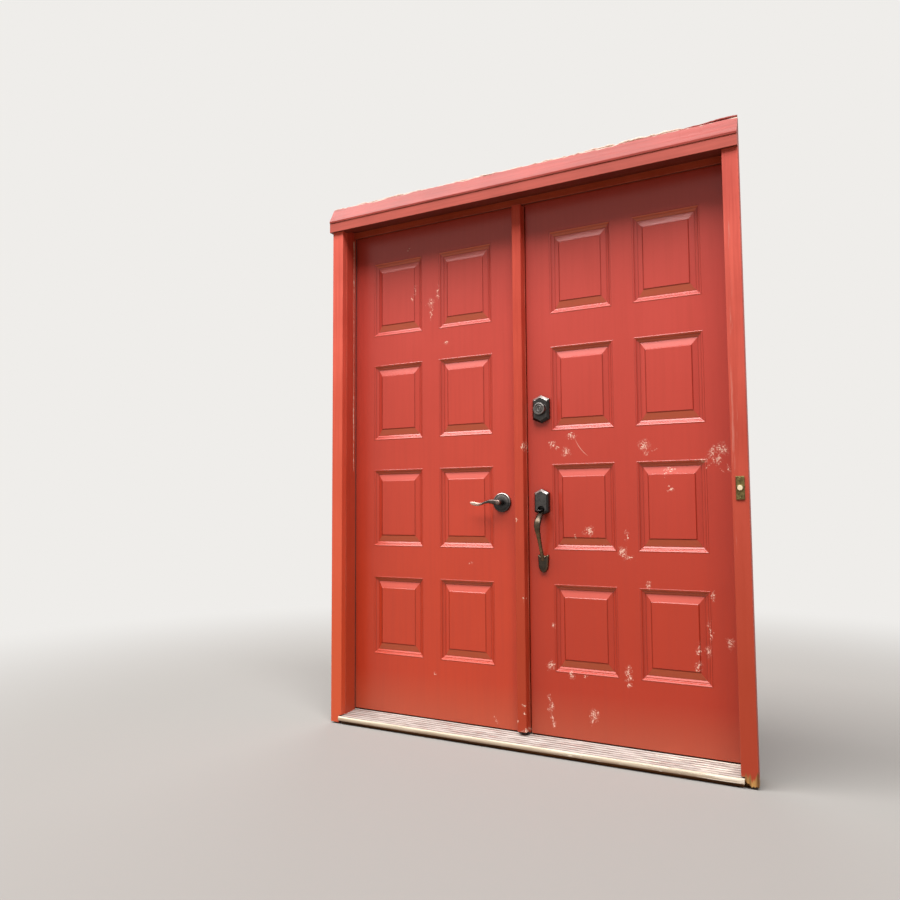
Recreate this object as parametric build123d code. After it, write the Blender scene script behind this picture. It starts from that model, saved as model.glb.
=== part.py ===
from build123d import *
import math
import os

# A double entry door: two insulated steel-faced leaves of eight raised panels each, that swing
# into the house in a painted wooden frame. X runs to the right along the wall as seen from
# outside, Y runs into the house, Z runs up. The origin is in the middle of the sill's underside,
# below the outside faces of the leaves. All sizes are in millimetres.

# Leaves
leaf_width = 755.65
leaf_height = 2025.65
leaf_thickness = 44.5
leaf_meeting_gap = 48.1
leaf_bottom = 46.0
skin_thickness = 0.9
stile_width = 38.0
top_rail_height = 38.0
bottom_rail_height = 60.0
lock_edge_bevel_deg = 3.0

# Raised panels, two columns of four on each face
panel_width = 235.0
panel_height = 313.0
panel_column_gap = 84.0
panel_row_gap = 131.5
panel_bottom_rail = 234.0
panel_columns = 2
panel_rows = 4
bead_width = 3.0
bead_height = 0.8
sticking_width = 16.0
groove_flat = 1.0
groove_depth = 9.5
bevel_side_width = 20.0
bevel_end_width = 26.0
field_depth = 2.0

# Frame
side_clearance = 3.0
head_clearance = 5.0
jamb_thickness = 31.75
jamb_depth = 116.1
rabbet_depth = 9.5
seal_gap = 8.0
head_stop_height = 26.0
head_stop_thickness = 12.0
casing_width = 52.0
casing_thickness = 27.0
casing_reveal = 3.0
casing_edge_radius = 2.0
casing_foot = 6.0
head_casing_height = 41.0
head_casing_drop = 14.0
head_casing_extra_thickness = 10.0
head_casing_left_overhang = 10.0
drip_nose_overhang = 6.0
drip_nose_height = 7.0
drip_rise = 68.0
drip_top_depth = 8.4

# Sill
sill_nose_front = 105.0
sill_nose_height = 16.0
sill_nose_radius = 6.0
sill_base_visible = 14.0
sill_base_setback = 12.0
sill_tread_rise = 10.0
sill_tread_wall = 2.5
sill_horn_length = 11.0
sill_rib_count = 6
sill_rib_height = 1.6
sill_rib_width = 7.0
sill_cap_depth = 34.0
sill_cap_clearance = 4.0
sill_cap_chamfer = 3.0
sweep_depth = 24.0
sweep_web = 2.0
sweep_fin = 2.2
sweep_fin_count = 4
end_clearance = 0.5
soft_clearance = 0.3
seal_corner = 1.5
cut_margin = 2.0

# Astragal, the T-shaped post on the left leaf's meeting edge
astragal_gap = 3.05
astragal_bar_width = 37.0
astragal_bar_proud = 32.0
astragal_bar_radius = 3.0
astragal_bar_foot = 6.0
astragal_head_gap = 1.5
astragal_seal_thickness = 2.6
astragal_seal_width = 8.0
astragal_seal_setback = 1.0
astragal_seal_round = 1.0
astragal_kerf_depth = 4.0
astragal_kerf_width = 2.0
foot_pad_height = 3.2
foot_pad_front = 9.0
foot_pad_setback = 8.0

# Butt hinges
hinge_length = 101.6
hinge_plate_width = 38.0
hinge_plate_thickness = 2.6
hinge_corner_radius = 15.9
hinge_knuckle_radius = 6.35
hinge_knuckles = 5
hinge_knuckle_gap = 0.3
hinge_pin_radius = 3.0
hinge_pin_clearance = 0.05
hinge_pin_setback = 6.5
hinge_pin_head_height = 3.0
hinge_pin_head_radius = 5.0
hinge_top_offset = 178.0
hinge_bottom_offset = 254.0
swing_limit_deg = 110.0

# Locks
backset = 60.3
deadbolt_height = 1203.0
latch_height = 853.0
cross_bore_radius = 27.0
edge_bore_radius = 12.7
edge_case_clearance = 0.4
edge_case_setback = 8.0
faceplate_width = 25.4
faceplate_length = 57.2
faceplate_thickness = 2.5
deadbolt_throw = 25.4
deadbolt_thickness = 12.5
deadbolt_width = 17.0
deadbolt_length = 44.0
latch_throw = 12.0
latch_thickness = 11.0
latch_width = 14.0
latch_length = 38.0
latch_nose_flat = 2.0
bolt_clearance = 0.3
bolt_recess = 0.4
bolt_edge_break = 0.8
bolt_back_room = 2.0
strike_length = 57.2
strike_width = 24.0
strike_thickness = 1.6
pocket_clearance = 1.5
pocket_extra_depth = 2.0
lock_block_width = 62.0
lock_block_margin = 70.0

# Deadbolt trim outside and thumb turn inside
rose_width = 66.0
rose_height = 104.0
rose_gable = 15.0
rose_thickness = 16.0
rose_chamfer = 7.0
collar_radius = 23.5
collar_front_radius = 21.5
collar_proud = 28.0
collar_band = 2.0
plug_radius = 7.0
plug_clearance = 0.05
plug_recess = 0.6
plug_length = 24.0
keyway_width = 1.8
keyway_height = 8.0
keyway_depth = 10.0
spindle_width = 6.0
spindle_thickness = 2.4
spindle_past_middle = 6.0
inside_rose_thickness = 10.0
turn_width = 38.0
turn_height = 15.0
turn_thickness = 9.0
turn_neck_radius = 8.0
turn_standoff = 13.0

# Thumb-latch handle set outside
escutcheon_width = 55.0
escutcheon_height = 98.0
escutcheon_gable = 14.0
escutcheon_depth = 24.0
escutcheon_chamfer = 6.0
thumb_drop = 23.0
thumb_slot_width = 20.0
thumb_slot_height = 14.0
thumb_width = 17.0
thumb_pad_width = 22.0
thumb_pad_length = 20.0
thumb_pad_clearance = 1.0
thumb_thickness = 4.0
thumb_pivot_depth = 8.0
thumb_tail = 12.0
thumb_travel_deg = 14.0
handle_drop = 274.0
foot_width = 45.0
foot_height = 73.0
foot_depth = 14.0
foot_dip = 4.0
foot_shoulder = 24.0
foot_chamfer = 4.5
grip_standoff = 58.0
grip_top_width = 20.0
grip_top_thickness = 14.0
grip_end_width = 13.0
grip_end_thickness = 11.0

# Levers
oval_sides = 14
lever_rose_radius = 37.5
lever_rose_thickness = 10.0
lever_rose_step = 3.0
rose_edge_break = 1.5
rose_rim_width = 5.0
lever_seat_depth = 1.0
lever_neck_radius = 10.5
lever_neck_chamfer = 2.5
lever_standoff = 46.0
lever_reach = 121.0
lever_dip = 25.0
lever_tip_drop = 11.0
lever_root_height = 19.0
lever_root_thickness = 14.0
lever_waist_height = 10.0
lever_waist_thickness = 9.0
lever_tip_height = 13.0
lever_tip_thickness = 6.0
lever_shaft_radius = 6.0
lever_shaft_reach = 8.0
lever_travel_deg = 45.0

# Flush bolts in the astragal's edge
flush_rod_radius = 4.0
flush_rod_clearance = 0.2
flush_rod_length = 230.0
flush_rod_recess = 1.0
flush_rod_wall = 1.0
flush_travel = 20.0
flush_plate_length = 150.0
flush_plate_width = 19.0
flush_plate_thickness = 2.0
flush_plate_offset = 70.0
flush_slot_width = 6.0
flush_knob_width = 5.0
flush_knob_height = 8.0
flush_hole_radius = 5.0
flush_hole_depth = 18.0

# Doorbell on the right casing
bell_height = 893.0
bell_plate_width = 27.0
bell_plate_height = 76.0
bell_plate_thickness = 4.0
bell_plate_chamfer = 1.6
bell_bezel_radius = 11.5
bell_bezel_thickness = 3.0
bell_button_radius = 8.5
bell_button_clearance = 0.3
bell_button_proud = 2.6
bell_button_edge = 1.2
bell_travel = 1.8

# Places that follow from the sizes above
half_gap = leaf_meeting_gap / 2
leaf_outer = half_gap + leaf_width
leaf_top = leaf_bottom + leaf_height
jamb_face = leaf_outer + side_clearance
stop_face = jamb_face - rabbet_depth
jamb_back = stop_face + jamb_thickness
frame_back = leaf_thickness
frame_front = frame_back - jamb_depth
soffit = leaf_top + head_clearance
head_top = soffit + jamb_thickness - rabbet_depth
casing_inner = stop_face + casing_reveal
casing_outer = casing_inner + casing_width
casing_front = frame_front - casing_thickness
head_stop_bottom = soffit - head_stop_height
head_casing_bottom = soffit - head_casing_drop
head_casing_front = casing_front - head_casing_extra_thickness
head_casing_top = head_casing_bottom + head_casing_height
nose_top = sill_base_visible + sill_nose_height
tread_back = nose_top + sill_tread_rise
cap_top = leaf_bottom - sill_cap_clearance
cap_front = (leaf_thickness - sill_cap_depth) / 2
pin_x = leaf_outer + side_clearance / 2
pin_y = leaf_thickness + hinge_pin_setback
stem_right = half_gap - astragal_gap
lock_x = half_gap + backset
mid_thickness = leaf_thickness / 2
latch_z = leaf_bottom + latch_height
deadbolt_z = leaf_bottom + deadbolt_height
handle_bottom = latch_height - handle_drop


def block(x0, x1, y0, y1, z0, z1):
    """A rectangular block between two corners."""
    size = Box(abs(x1 - x0), abs(y1 - y0), abs(z1 - z0))
    return Pos((x0 + x1) / 2, (y0 + y1) / 2, (z0 + z1) / 2) * size


def prism_x(points, x0, x1):
    """A profile of (y, z) points carried along X."""
    profile = Plane.YZ * Polygon(*points, align=None)
    return Pos(x0, 0, 0) * extrude(profile, amount=x1 - x0, dir=(1, 0, 0))


def prism_y(points, y0, y1):
    """An outline of (x, z) points carried along Y."""
    profile = Plane.XZ * Polygon(*points, align=None)
    return Pos(0, y0, 0) * extrude(profile, amount=y1 - y0, dir=(0, 1, 0))


def prism_z(points, z0, z1):
    """A plan of (x, y) points carried along Z."""
    profile = Polygon(*points, align=None)
    return Pos(0, 0, z0) * extrude(profile, amount=z1 - z0, dir=(0, 0, 1))


def rod_x(radius, x0, x1, y, z):
    """A round rod along X."""
    return Pos((x0 + x1) / 2, y, z) * Rot(0, 90, 0) * Cylinder(radius, abs(x1 - x0))


def rod_y(radius, y0, y1, x, z):
    """A round rod along Y."""
    return Pos(x, (y0 + y1) / 2, z) * Rot(90, 0, 0) * Cylinder(radius, abs(y1 - y0))


def rod_z(radius, z0, z1, x, y):
    """A round rod along Z."""
    return Pos(x, y, (z0 + z1) / 2) * Cylinder(radius, abs(z1 - z0))


def frustum(width, height, inset_side, inset_end, depth):
    """A rectangular frustum about the Y axis, wide at y = 0 and narrowed at y = depth."""
    solid = Wedge(
        width,
        depth,
        height,
        inset_side,
        inset_end,
        width - inset_side,
        height - inset_end,
        align=(Align.CENTER, Align.MIN, Align.CENTER),
    )
    return solid


def mirror_x(shape):
    """The shape seen in a mirror on the YZ plane, for the left-hand pieces."""
    return mirror(shape, about=Plane.YZ)


def gabled_points(width, height, gable):
    """A plate outline with straight sides and a shallow point above and below."""
    half = width / 2
    shoulder = height / 2 - gable
    return [
        (0, height / 2),
        (half, shoulder),
        (half, -shoulder),
        (0, -height / 2),
        (-half, -shoulder),
        (-half, shoulder),
    ]


def gabled_plate(width, height, gable, thickness, chamfer_size):
    """A gabled plate standing on y = 0 towards -Y, with its front edges chamfered."""
    plate = prism_y(gabled_points(width, height, gable), -thickness, 0)
    front = plate.faces().sort_by(Axis.Y)[0]
    return chamfer(front.edges(), chamfer_size)


# The leaves


def panel_centres(leaf_middle):
    """Centres of the raised panels on a leaf, as (x, z)."""
    centres = []
    for column in range(panel_columns):
        step = column - (panel_columns - 1) / 2
        x = leaf_middle + step * (panel_width + panel_column_gap)
        for row in range(panel_rows):
            lowest = leaf_bottom + panel_bottom_rail + panel_height / 2
            z = lowest + row * (panel_height + panel_row_gap)
            centres.append((x, z))
    return centres


def panel_recess():
    """What one panel's groove and bevels take out of the face y = 0, going down along +Y.

    The moulded slope falls from the bead's crest to the groove's floor, and the raised field
    climbs back by its bevels to just under the face."""
    total = groove_depth + bead_height
    pocket = frustum(panel_width, panel_height, sticking_width, sticking_width, total)
    pocket = Pos(0, -bead_height, 0) * pocket
    floor_width = panel_width - 2 * (sticking_width + groove_flat)
    floor_height = panel_height - 2 * (sticking_width + groove_flat)
    rise = groove_depth - field_depth
    field = frustum(floor_width, floor_height, bevel_side_width, bevel_end_width, rise)
    field = Pos(0, groove_depth, 0) * Rot(180, 0, 0) * field
    return pocket - field


def panel_bead():
    """The low raised bead round one panel, standing on y = 0 towards -Y."""
    outer_width = panel_width + 2 * bead_width
    outer_height = panel_height + 2 * bead_width
    bead = frustum(outer_width, outer_height, bead_width / 2, bead_width / 2, bead_height)
    return Rot(180, 0, 0) * bead


def pressed_skin(leaf_middle, left, right):
    """A pressed steel sheet with its raised panels, its face on y = 0 towards -Y."""
    sheet = block(left, right, 0, skin_thickness, leaf_bottom, leaf_top)
    recess = panel_recess()
    bead = panel_bead()
    places = [Pos(x, 0, z) for x, z in panel_centres(leaf_middle)]
    back = Pos(0, skin_thickness, 0)
    sheet = sheet + [place * bead for place in places]
    sheet = sheet - [place * back * bead for place in places]
    sheet = sheet + [place * back * recess for place in places]
    return sheet - [place * recess for place in places]


def across_thickness(shape):
    """Turns a piece made on the outside face round to the inside face of the leaf."""
    return mirror(Pos(0, -mid_thickness, 0) * shape, about=Plane.XZ).moved(Pos(0, mid_thickness, 0))


def foam_core(leaf_middle, left, right, bottom, top):
    """The foam between the skins, following both pressed faces."""
    y0 = skin_thickness
    y1 = leaf_thickness - skin_thickness
    core = block(left, right, y0, y1, bottom, top)
    recess = Pos(0, skin_thickness, 0) * panel_recess()
    far = across_thickness(recess)
    cuts = []
    for x, z in panel_centres(leaf_middle):
        cuts.append(Pos(x, 0, z) * recess)
        cuts.append(Pos(x, 0, z) * far)
    return core - cuts


def hinge_heights():
    """Middles of the three hinges of a leaf."""
    top = leaf_top - hinge_top_offset
    bottom = leaf_bottom + hinge_bottom_offset
    return [bottom, (bottom + top) / 2, top]


def hinge_mortise(x_face, inward):
    """The shallow pocket for one hinge plate, cut from a face at x_face towards inward."""
    depth = inward * hinge_plate_thickness
    front = leaf_thickness - hinge_plate_width
    pocket = block(x_face, x_face + depth, front, leaf_thickness, -hinge_length / 2, hinge_length / 2)
    corners = pocket.edges().filter_by(Axis.X).group_by(Axis.Y)[0]
    return fillet(corners, hinge_corner_radius)


def hinge_mortises(x_face, inward):
    """The pockets for the three hinge plates on one upright face."""
    pocket = hinge_mortise(x_face, inward)
    return [Pos(0, 0, z) * pocket for z in hinge_heights()]


def lock_edge_cut():
    """The wedge that bevels the right leaf's meeting edge."""
    slope = math.tan(math.radians(lock_edge_bevel_deg))
    back = leaf_thickness + cut_margin
    front = -cut_margin
    points = [
        (half_gap - cut_margin, back),
        (half_gap + (leaf_thickness - back) * slope, back),
        (half_gap + (leaf_thickness - front) * slope, front),
        (half_gap - cut_margin, front),
    ]
    return prism_z(points, leaf_bottom - cut_margin, leaf_top + cut_margin)


def right_leaf_cuts():
    """Everything that is cut from the right leaf's timber, foam and skins."""
    cuts = [lock_edge_cut()]
    for z in (deadbolt_z, latch_z):
        cuts.append(rod_y(cross_bore_radius, -cut_margin, leaf_thickness + cut_margin, lock_x, z))
        cuts.append(rod_x(edge_bore_radius, half_gap - cut_margin, lock_x, mid_thickness, z))
        cuts.append(faceplate_mortise(z))
    return cuts


def faceplate_mortise(z):
    """The pocket in the bevelled edge for a lock's faceplate."""
    half = faceplate_width / 2
    return block(
        half_gap,
        half_gap + faceplate_mount_depth(),
        mid_thickness - half,
        mid_thickness + half,
        z - faceplate_length / 2,
        z + faceplate_length / 2,
    )


def edge_at(y):
    """Where the right leaf's bevelled meeting edge lies in X at a depth y."""
    slope = math.tan(math.radians(lock_edge_bevel_deg))
    return half_gap + (leaf_thickness - y) * slope


def faceplate_mount_depth():
    """How far the faceplate's back lies inside the leaf's square meeting line."""
    return edge_at(mid_thickness) - half_gap + faceplate_thickness


def leaf_pieces(side):
    """Skins, stiles, rails, foam and sweep of a leaf, made on the right-hand side."""
    middle = half_gap + leaf_width / 2
    y0 = skin_thickness
    y1 = leaf_thickness - skin_thickness
    lock_inner = half_gap + stile_width
    hinge_inner = leaf_outer - stile_width
    rail_top = leaf_top - top_rail_height
    rail_bottom = leaf_bottom + bottom_rail_height
    mortises = hinge_mortises(leaf_outer, -1)
    outer = pressed_skin(middle, half_gap, leaf_outer)
    inner = across_thickness(outer) - mortises
    lock_stile = block(half_gap, lock_inner, y0, y1, leaf_bottom, leaf_top)
    hinge_stile = block(hinge_inner, leaf_outer, y0, y1, leaf_bottom, leaf_top) - mortises
    top_rail = block(lock_inner, hinge_inner, y0, y1, rail_top, leaf_top)
    bottom_rail = block(lock_inner, hinge_inner, y0, y1, leaf_bottom, rail_bottom)
    core = foam_core(middle, lock_inner, hinge_inner, rail_bottom, rail_top)
    pieces = {
        "outer_skin": outer,
        "inner_skin": inner,
        "lock_stile": lock_stile,
        "hinge_stile": hinge_stile,
        "top_rail": top_rail,
        "bottom_rail": bottom_rail,
        "core": core,
        "sweep": door_sweep(),
    }
    if side == "right":
        pieces["lock_block"] = lock_block()
        pieces["core"] = pieces["core"] - lock_block()
        cuts = right_leaf_cuts()
        for name in ("outer_skin", "inner_skin", "lock_stile", "lock_block"):
            pieces[name] = pieces[name] - cuts
        pieces["core"] = pieces["core"] - cuts[:1]
        pieces["sweep"] = pieces["sweep"] - cuts[:1]
    return pieces


def lock_block():
    """The solid timber behind the lock stile, which holds both lock bores."""
    return block(
        half_gap + stile_width,
        half_gap + stile_width + lock_block_width,
        skin_thickness,
        leaf_thickness - skin_thickness,
        latch_z - lock_block_margin,
        deadbolt_z + lock_block_margin,
    )


def door_sweep():
    """The vinyl sweep under a leaf: a web against the rail with fins that brush the sill cap."""
    y0 = mid_thickness - sweep_depth / 2
    top = leaf_bottom
    low = cap_top + soft_clearance
    pitch = sweep_depth / sweep_fin_count
    points = [(y0, top), (y0 + sweep_depth, top), (y0 + sweep_depth, top - sweep_web)]
    for fin in reversed(range(sweep_fin_count)):
        start = y0 + fin * pitch + (pitch - sweep_fin) / 2
        points.append((start + sweep_fin, top - sweep_web))
        points.append((start + sweep_fin, low))
        points.append((start, low))
        points.append((start, top - sweep_web))
    points.append((y0, top - sweep_web))
    return prism_x(points, half_gap + end_clearance, leaf_outer - end_clearance)


# The frame


def side_jamb():
    """A rabbeted side jamb on the right, whose foot runs down beside the sill."""
    plan = [
        (stop_face, frame_front),
        (jamb_back, frame_front),
        (jamb_back, frame_back),
        (jamb_face, frame_back),
        (jamb_face, -seal_gap),
        (stop_face, -seal_gap),
    ]
    return prism_z(plan, 0, soffit) - hinge_mortises(jamb_face, 1)


def head_jamb():
    """The flat head jamb across both side jambs, as thick as they are behind their stops."""
    board = block(-jamb_back, jamb_back, frame_front, frame_back, soffit, head_top)
    x, y = flush_rod_place()
    return board - rod_z(flush_hole_radius, soffit, soffit + flush_hole_depth, x, y)


def head_stop():
    """The strip below the head jamb that the leaves close against."""
    front = -seal_gap - head_stop_thickness
    strip = block(-stop_face, stop_face, front, -seal_gap, head_stop_bottom, soffit)
    edge = strip.edges().filter_by(Axis.X).sort_by(lambda e: e.center().Y + e.center().Z)[0]
    return fillet(edge, casing_edge_radius)


def side_casing(foot_points):
    """The flat casing on the right of the opening, with the given foot outline."""
    points = foot_points + [(casing_outer, head_casing_bottom), (casing_inner, head_casing_bottom)]
    board = prism_y(points, casing_front, frame_front)
    upright = board.edges().filter_by(Axis.Z).group_by(Axis.Y)[0]
    return fillet(upright, casing_edge_radius)


def sound_foot():
    """A casing foot scribed over the end of the sill's nose."""
    step = casing_inner + sill_horn_length + end_clearance
    return [(casing_inner, horn_top()), (step, horn_top()), (step, casing_foot), (casing_outer, casing_foot)]


def rotten_foot():
    """The right casing's foot, rotted away towards the opening, with its end grain split.

    A splinter is a share of the way from the sill's horn to the outer edge and a share of the
    height from the foot to the top of the horn."""
    step = casing_inner + sill_horn_length + end_clearance
    span = casing_outer - step
    rise = horn_top() - casing_foot
    splinters = [
        (0.0, 1.0),
        (0.0, 0.68),
        (0.2, 0.32),
        (0.28, 0.4),
        (0.4, 0.12),
        (0.5, 0.0),
        (0.62, 0.15),
        (0.72, 0.03),
        (0.86, 0.17),
        (1.0, 0.07),
    ]
    foot = [(casing_inner, horn_top())]
    for share, height in splinters:
        foot.append((step + share * span, casing_foot + height * rise))
    return foot


def horn_top():
    """The height just above the sill's nose under a side casing."""
    slope = sill_tread_rise / (sill_nose_front - sill_nose_radius)
    back = sill_nose_front + frame_front
    return nose_top + slope * back + sill_rib_height + end_clearance


def head_casing():
    """The head casing, which hangs just below the soffit and stands prouder than the side casings."""
    left = -casing_outer - head_casing_left_overhang
    low = head_casing_bottom
    board = block(left, casing_outer, head_casing_front, frame_front, low, head_casing_top)
    edge = board.edges().filter_by(Axis.X).sort_by(lambda e: e.center().Y + e.center().Z)[0]
    return fillet(edge, casing_edge_radius)


def drip_cap():
    """The sloped cap that sheds rain over the head casing."""
    nose = head_casing_front - drip_nose_overhang
    low = head_casing_top
    points = [
        (frame_front, low),
        (nose, low),
        (nose, low + drip_nose_height),
        (frame_front - drip_top_depth, low + drip_rise),
        (frame_front, low + drip_rise),
    ]
    return prism_x(points, -casing_outer - head_casing_left_overhang, casing_outer)


def tread_line(y, drop=0.0):
    """The height of the plain tread surface at a depth y, or a line below it by drop."""
    run = sill_nose_front - sill_nose_radius
    share = (y + run) / (run + cap_front)
    return nose_top + sill_tread_rise * share - drop


def sill_tread():
    """The extruded tread: a rounded nose, a sloping deck with ribs and a turned-down front."""
    front = -sill_nose_front
    deck_start = front + sill_nose_radius
    deck = cap_front - deck_start
    pitch = deck / sill_rib_count
    points = [(front, sill_base_visible)]
    for step in range(4):
        angle = math.radians(step * 30)
        y = deck_start - sill_nose_radius * math.cos(angle)
        z = nose_top - sill_nose_radius + sill_nose_radius * math.sin(angle)
        points.append((y, z))
    for rib in range(sill_rib_count):
        start = deck_start + rib * pitch + (pitch - sill_rib_width) / 2
        end = start + sill_rib_width
        points.append((start, tread_line(start)))
        points.append((start + sill_rib_height, tread_line(start) + sill_rib_height))
        points.append((end - sill_rib_height, tread_line(end) + sill_rib_height))
        points.append((end, tread_line(end)))
    points.append((cap_front, tread_line(cap_front)))
    points.append((cap_front, tread_line(cap_front, sill_tread_wall)))
    inside = front + sill_tread_wall
    points.append((inside, tread_line(inside, sill_tread_wall)))
    points.append((inside, sill_base_visible))
    plate = prism_x(points, -jamb_face, jamb_face)
    return plate + sill_horn(points) - jamb_feet()


def sill_horn(points):
    """The nose's ends, which run on under both side casings."""
    end = casing_inner + sill_horn_length
    strip = prism_x(points, -end, end)
    return strip & block(-end, end, -sill_nose_front, frame_front, 0, leaf_bottom)


def jamb_feet():
    """The space of the side jambs' stops, which the sill is notched around."""
    foot = block(stop_face, jamb_back, frame_front, -seal_gap, 0, leaf_bottom + leaf_height)
    return [foot, mirror_x(foot)]


def sill_base():
    """The timber under the tread and cap, set back below the nose."""
    front = -sill_nose_front + sill_tread_wall
    lower_front = front + sill_base_setback
    points = [
        (lower_front, 0),
        (frame_back, 0),
        (frame_back, tread_back - sill_tread_wall),
        (cap_front, tread_back - sill_tread_wall),
        (cap_front, tread_line(cap_front, sill_tread_wall)),
        (front, tread_line(front, sill_tread_wall)),
        (front, sill_base_visible),
        (lower_front, sill_base_visible),
    ]
    timber = prism_x(points, -jamb_face, jamb_face) - jamb_feet()
    x, y = flush_rod_place()
    bottom = cap_top - flush_hole_depth
    return timber - rod_z(flush_hole_radius, bottom, cap_top, x, y)


def sill_cap():
    """The raised cap under the leaves, drilled for the foot bolt."""
    back = cap_front + sill_cap_depth
    low = tread_back - sill_tread_wall
    points = [
        (cap_front, low),
        (back, low),
        (back, cap_top - sill_cap_chamfer / 2),
        (back - sill_cap_chamfer, cap_top),
        (cap_front + sill_cap_chamfer, cap_top),
        (cap_front, cap_top - sill_cap_chamfer / 2),
    ]
    x, y = flush_rod_place()
    return prism_x(points, -jamb_face, jamb_face) - rod_z(flush_hole_radius, low, cap_top, x, y)


def side_weatherstrip():
    """The foam-filled seal in the right jamb's rabbet, just short of the closed leaf."""
    front = -seal_gap
    back = -soft_clearance
    bow = (jamb_face - stop_face) / 3
    plan = [
        (stop_face + bow, front),
        (jamb_face, front),
        (jamb_face, back - bow),
        (jamb_face - bow, back),
        (stop_face + bow, back),
        (stop_face, back - bow),
        (stop_face, front + bow),
    ]
    low = tread_back + sill_rib_height + end_clearance
    return prism_z(plan, low, soffit)


def head_weatherstrip():
    """The seal behind the head stop, between the side seals."""
    front = -seal_gap
    back = -soft_clearance
    low = head_stop_bottom + (soffit - head_stop_bottom) / 3
    high = soffit - (soffit - head_stop_bottom) / 6
    points = [
        (front, low),
        (front, high),
        (back - seal_corner, high),
        (back, high - 2 * seal_corner),
        (back, low + 2 * seal_corner),
        (back - seal_corner, low),
    ]
    reach = stop_face - end_clearance
    return prism_x(points, -reach, reach)


# The hinges


def knuckle_spans(moving):
    """The stretches of the barrel, measured from its middle, that belong to one plate."""
    pitch = hinge_length / hinge_knuckles
    spans = []
    for index in range(hinge_knuckles):
        if (index % 2 == 1) == moving:
            low = -hinge_length / 2 + index * pitch + hinge_knuckle_gap / 2
            spans.append((low, low + pitch - hinge_knuckle_gap))
    return spans


def hinge_plate(moving):
    """One plate of a butt hinge with its knuckles, on the right-hand side at height zero."""
    inward = -1 if moving else 1
    face = leaf_outer if moving else jamb_face
    plate = hinge_mortise(face, inward)
    bore = hinge_pin_radius + hinge_pin_clearance
    x0 = min(face, face + inward * hinge_plate_thickness)
    for low, high in knuckle_spans(moving):
        web = block(x0, x0 + hinge_plate_thickness, leaf_thickness, pin_y - bore, low, high)
        barrel = rod_z(hinge_knuckle_radius, low, high, pin_x, pin_y)
        plate = plate + web + barrel
    return plate - rod_z(bore, -hinge_length, hinge_length, pin_x, pin_y)


def hinge_pin():
    """The loose pin with its button head, at height zero."""
    top = hinge_length / 2 + hinge_knuckle_gap
    shank = rod_z(hinge_pin_radius, -hinge_length / 2, top, pin_x, pin_y)
    head = rod_z(hinge_pin_head_radius, top, top + hinge_pin_head_height, pin_x, pin_y)
    return shank + head


def at_hinges(shape):
    """Copies of a hinge piece at the three hinge heights."""
    return [Pos(0, 0, z) * shape for z in hinge_heights()]


# The astragal and its bolts


def flush_rod_place():
    """Where the flush bolts' rods run in the astragal's stem, as (x, y)."""
    return stem_right - flush_plate_thickness - flush_rod_radius - flush_rod_wall, mid_thickness


def astragal():
    """The T-shaped meeting post: a stem between the leaves and a bar in front of them."""
    stem = block(-half_gap, stem_right, 0, leaf_thickness, leaf_bottom, leaf_top)
    half = astragal_bar_width / 2
    low = leaf_bottom + astragal_bar_foot
    high = head_stop_bottom - astragal_head_gap
    bar = block(-half, half, -astragal_bar_proud, 0, low, high)
    bar = fillet(bar.edges().filter_by(Axis.Z).group_by(Axis.Y)[0], astragal_bar_radius)
    post = stem + bar
    return post - strike_pockets() - flush_bolt_seats() - astragal_seal_groove()


def strike_pockets():
    """Seats of the two strikes and the pockets that the bolts enter."""
    cuts = []
    for z, thickness, width, throw in lock_bolts():
        seat = strike_seat(z)
        depth = stem_right - (half_gap - throw) + pocket_extra_depth
        half_y = thickness / 2 + pocket_clearance
        half_z = width / 2 + pocket_clearance
        pocket = block(
            stem_right - depth,
            stem_right,
            mid_thickness - half_y,
            mid_thickness + half_y,
            z - half_z,
            z + half_z,
        )
        cuts.append(seat)
        cuts.append(pocket)
    return cuts


def lock_bolts():
    """Height, thickness, width and throw of the deadbolt and of the latch."""
    return [
        (deadbolt_z, deadbolt_thickness, deadbolt_width, deadbolt_throw),
        (latch_z, latch_thickness, latch_width, latch_throw),
    ]


def strike_seat(z):
    """The space of one strike plate in the stem's edge."""
    return block(
        stem_right - strike_thickness,
        stem_right,
        mid_thickness - strike_width / 2,
        mid_thickness + strike_width / 2,
        z - strike_length / 2,
        z + strike_length / 2,
    )


def strike(index):
    """A strike plate with its bolt hole."""
    z, thickness, width, throw = lock_bolts()[index]
    half_y = thickness / 2 + pocket_clearance
    half_z = width / 2 + pocket_clearance
    hole = block(
        stem_right - strike_thickness,
        stem_right,
        mid_thickness - half_y,
        mid_thickness + half_y,
        z - half_z,
        z + half_z,
    )
    return strike_seat(z) - hole


def flush_plate_span(upper):
    """The lowest and highest point of a flush bolt's plate."""
    if upper:
        high = leaf_top - flush_plate_offset
        return high - flush_plate_length, high
    low = leaf_bottom + flush_plate_offset
    return low, low + flush_plate_length


def flush_plate_box(upper):
    """The space of one flush bolt's face plate."""
    low, high = flush_plate_span(upper)
    half = flush_plate_width / 2
    return block(
        stem_right - flush_plate_thickness,
        stem_right,
        mid_thickness - half,
        mid_thickness + half,
        low,
        high,
    )


def flush_slot(upper):
    """The slot that a flush bolt's knob travels in."""
    low, high = flush_plate_span(upper)
    middle = (low + high) / 2
    half_y = flush_slot_width / 2
    half_z = (flush_travel + flush_knob_height) / 2 + 2 * end_clearance
    x, y = flush_rod_place()
    return block(x, stem_right, mid_thickness - half_y, mid_thickness + half_y, middle - half_z, middle + half_z)


def rod_span(upper):
    """The lowest and highest point of a flush bolt's rod when it is drawn back."""
    if upper:
        high = leaf_top - flush_rod_recess
        return high - flush_rod_length, high
    low = leaf_bottom + flush_rod_recess
    return low, low + flush_rod_length


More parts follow.
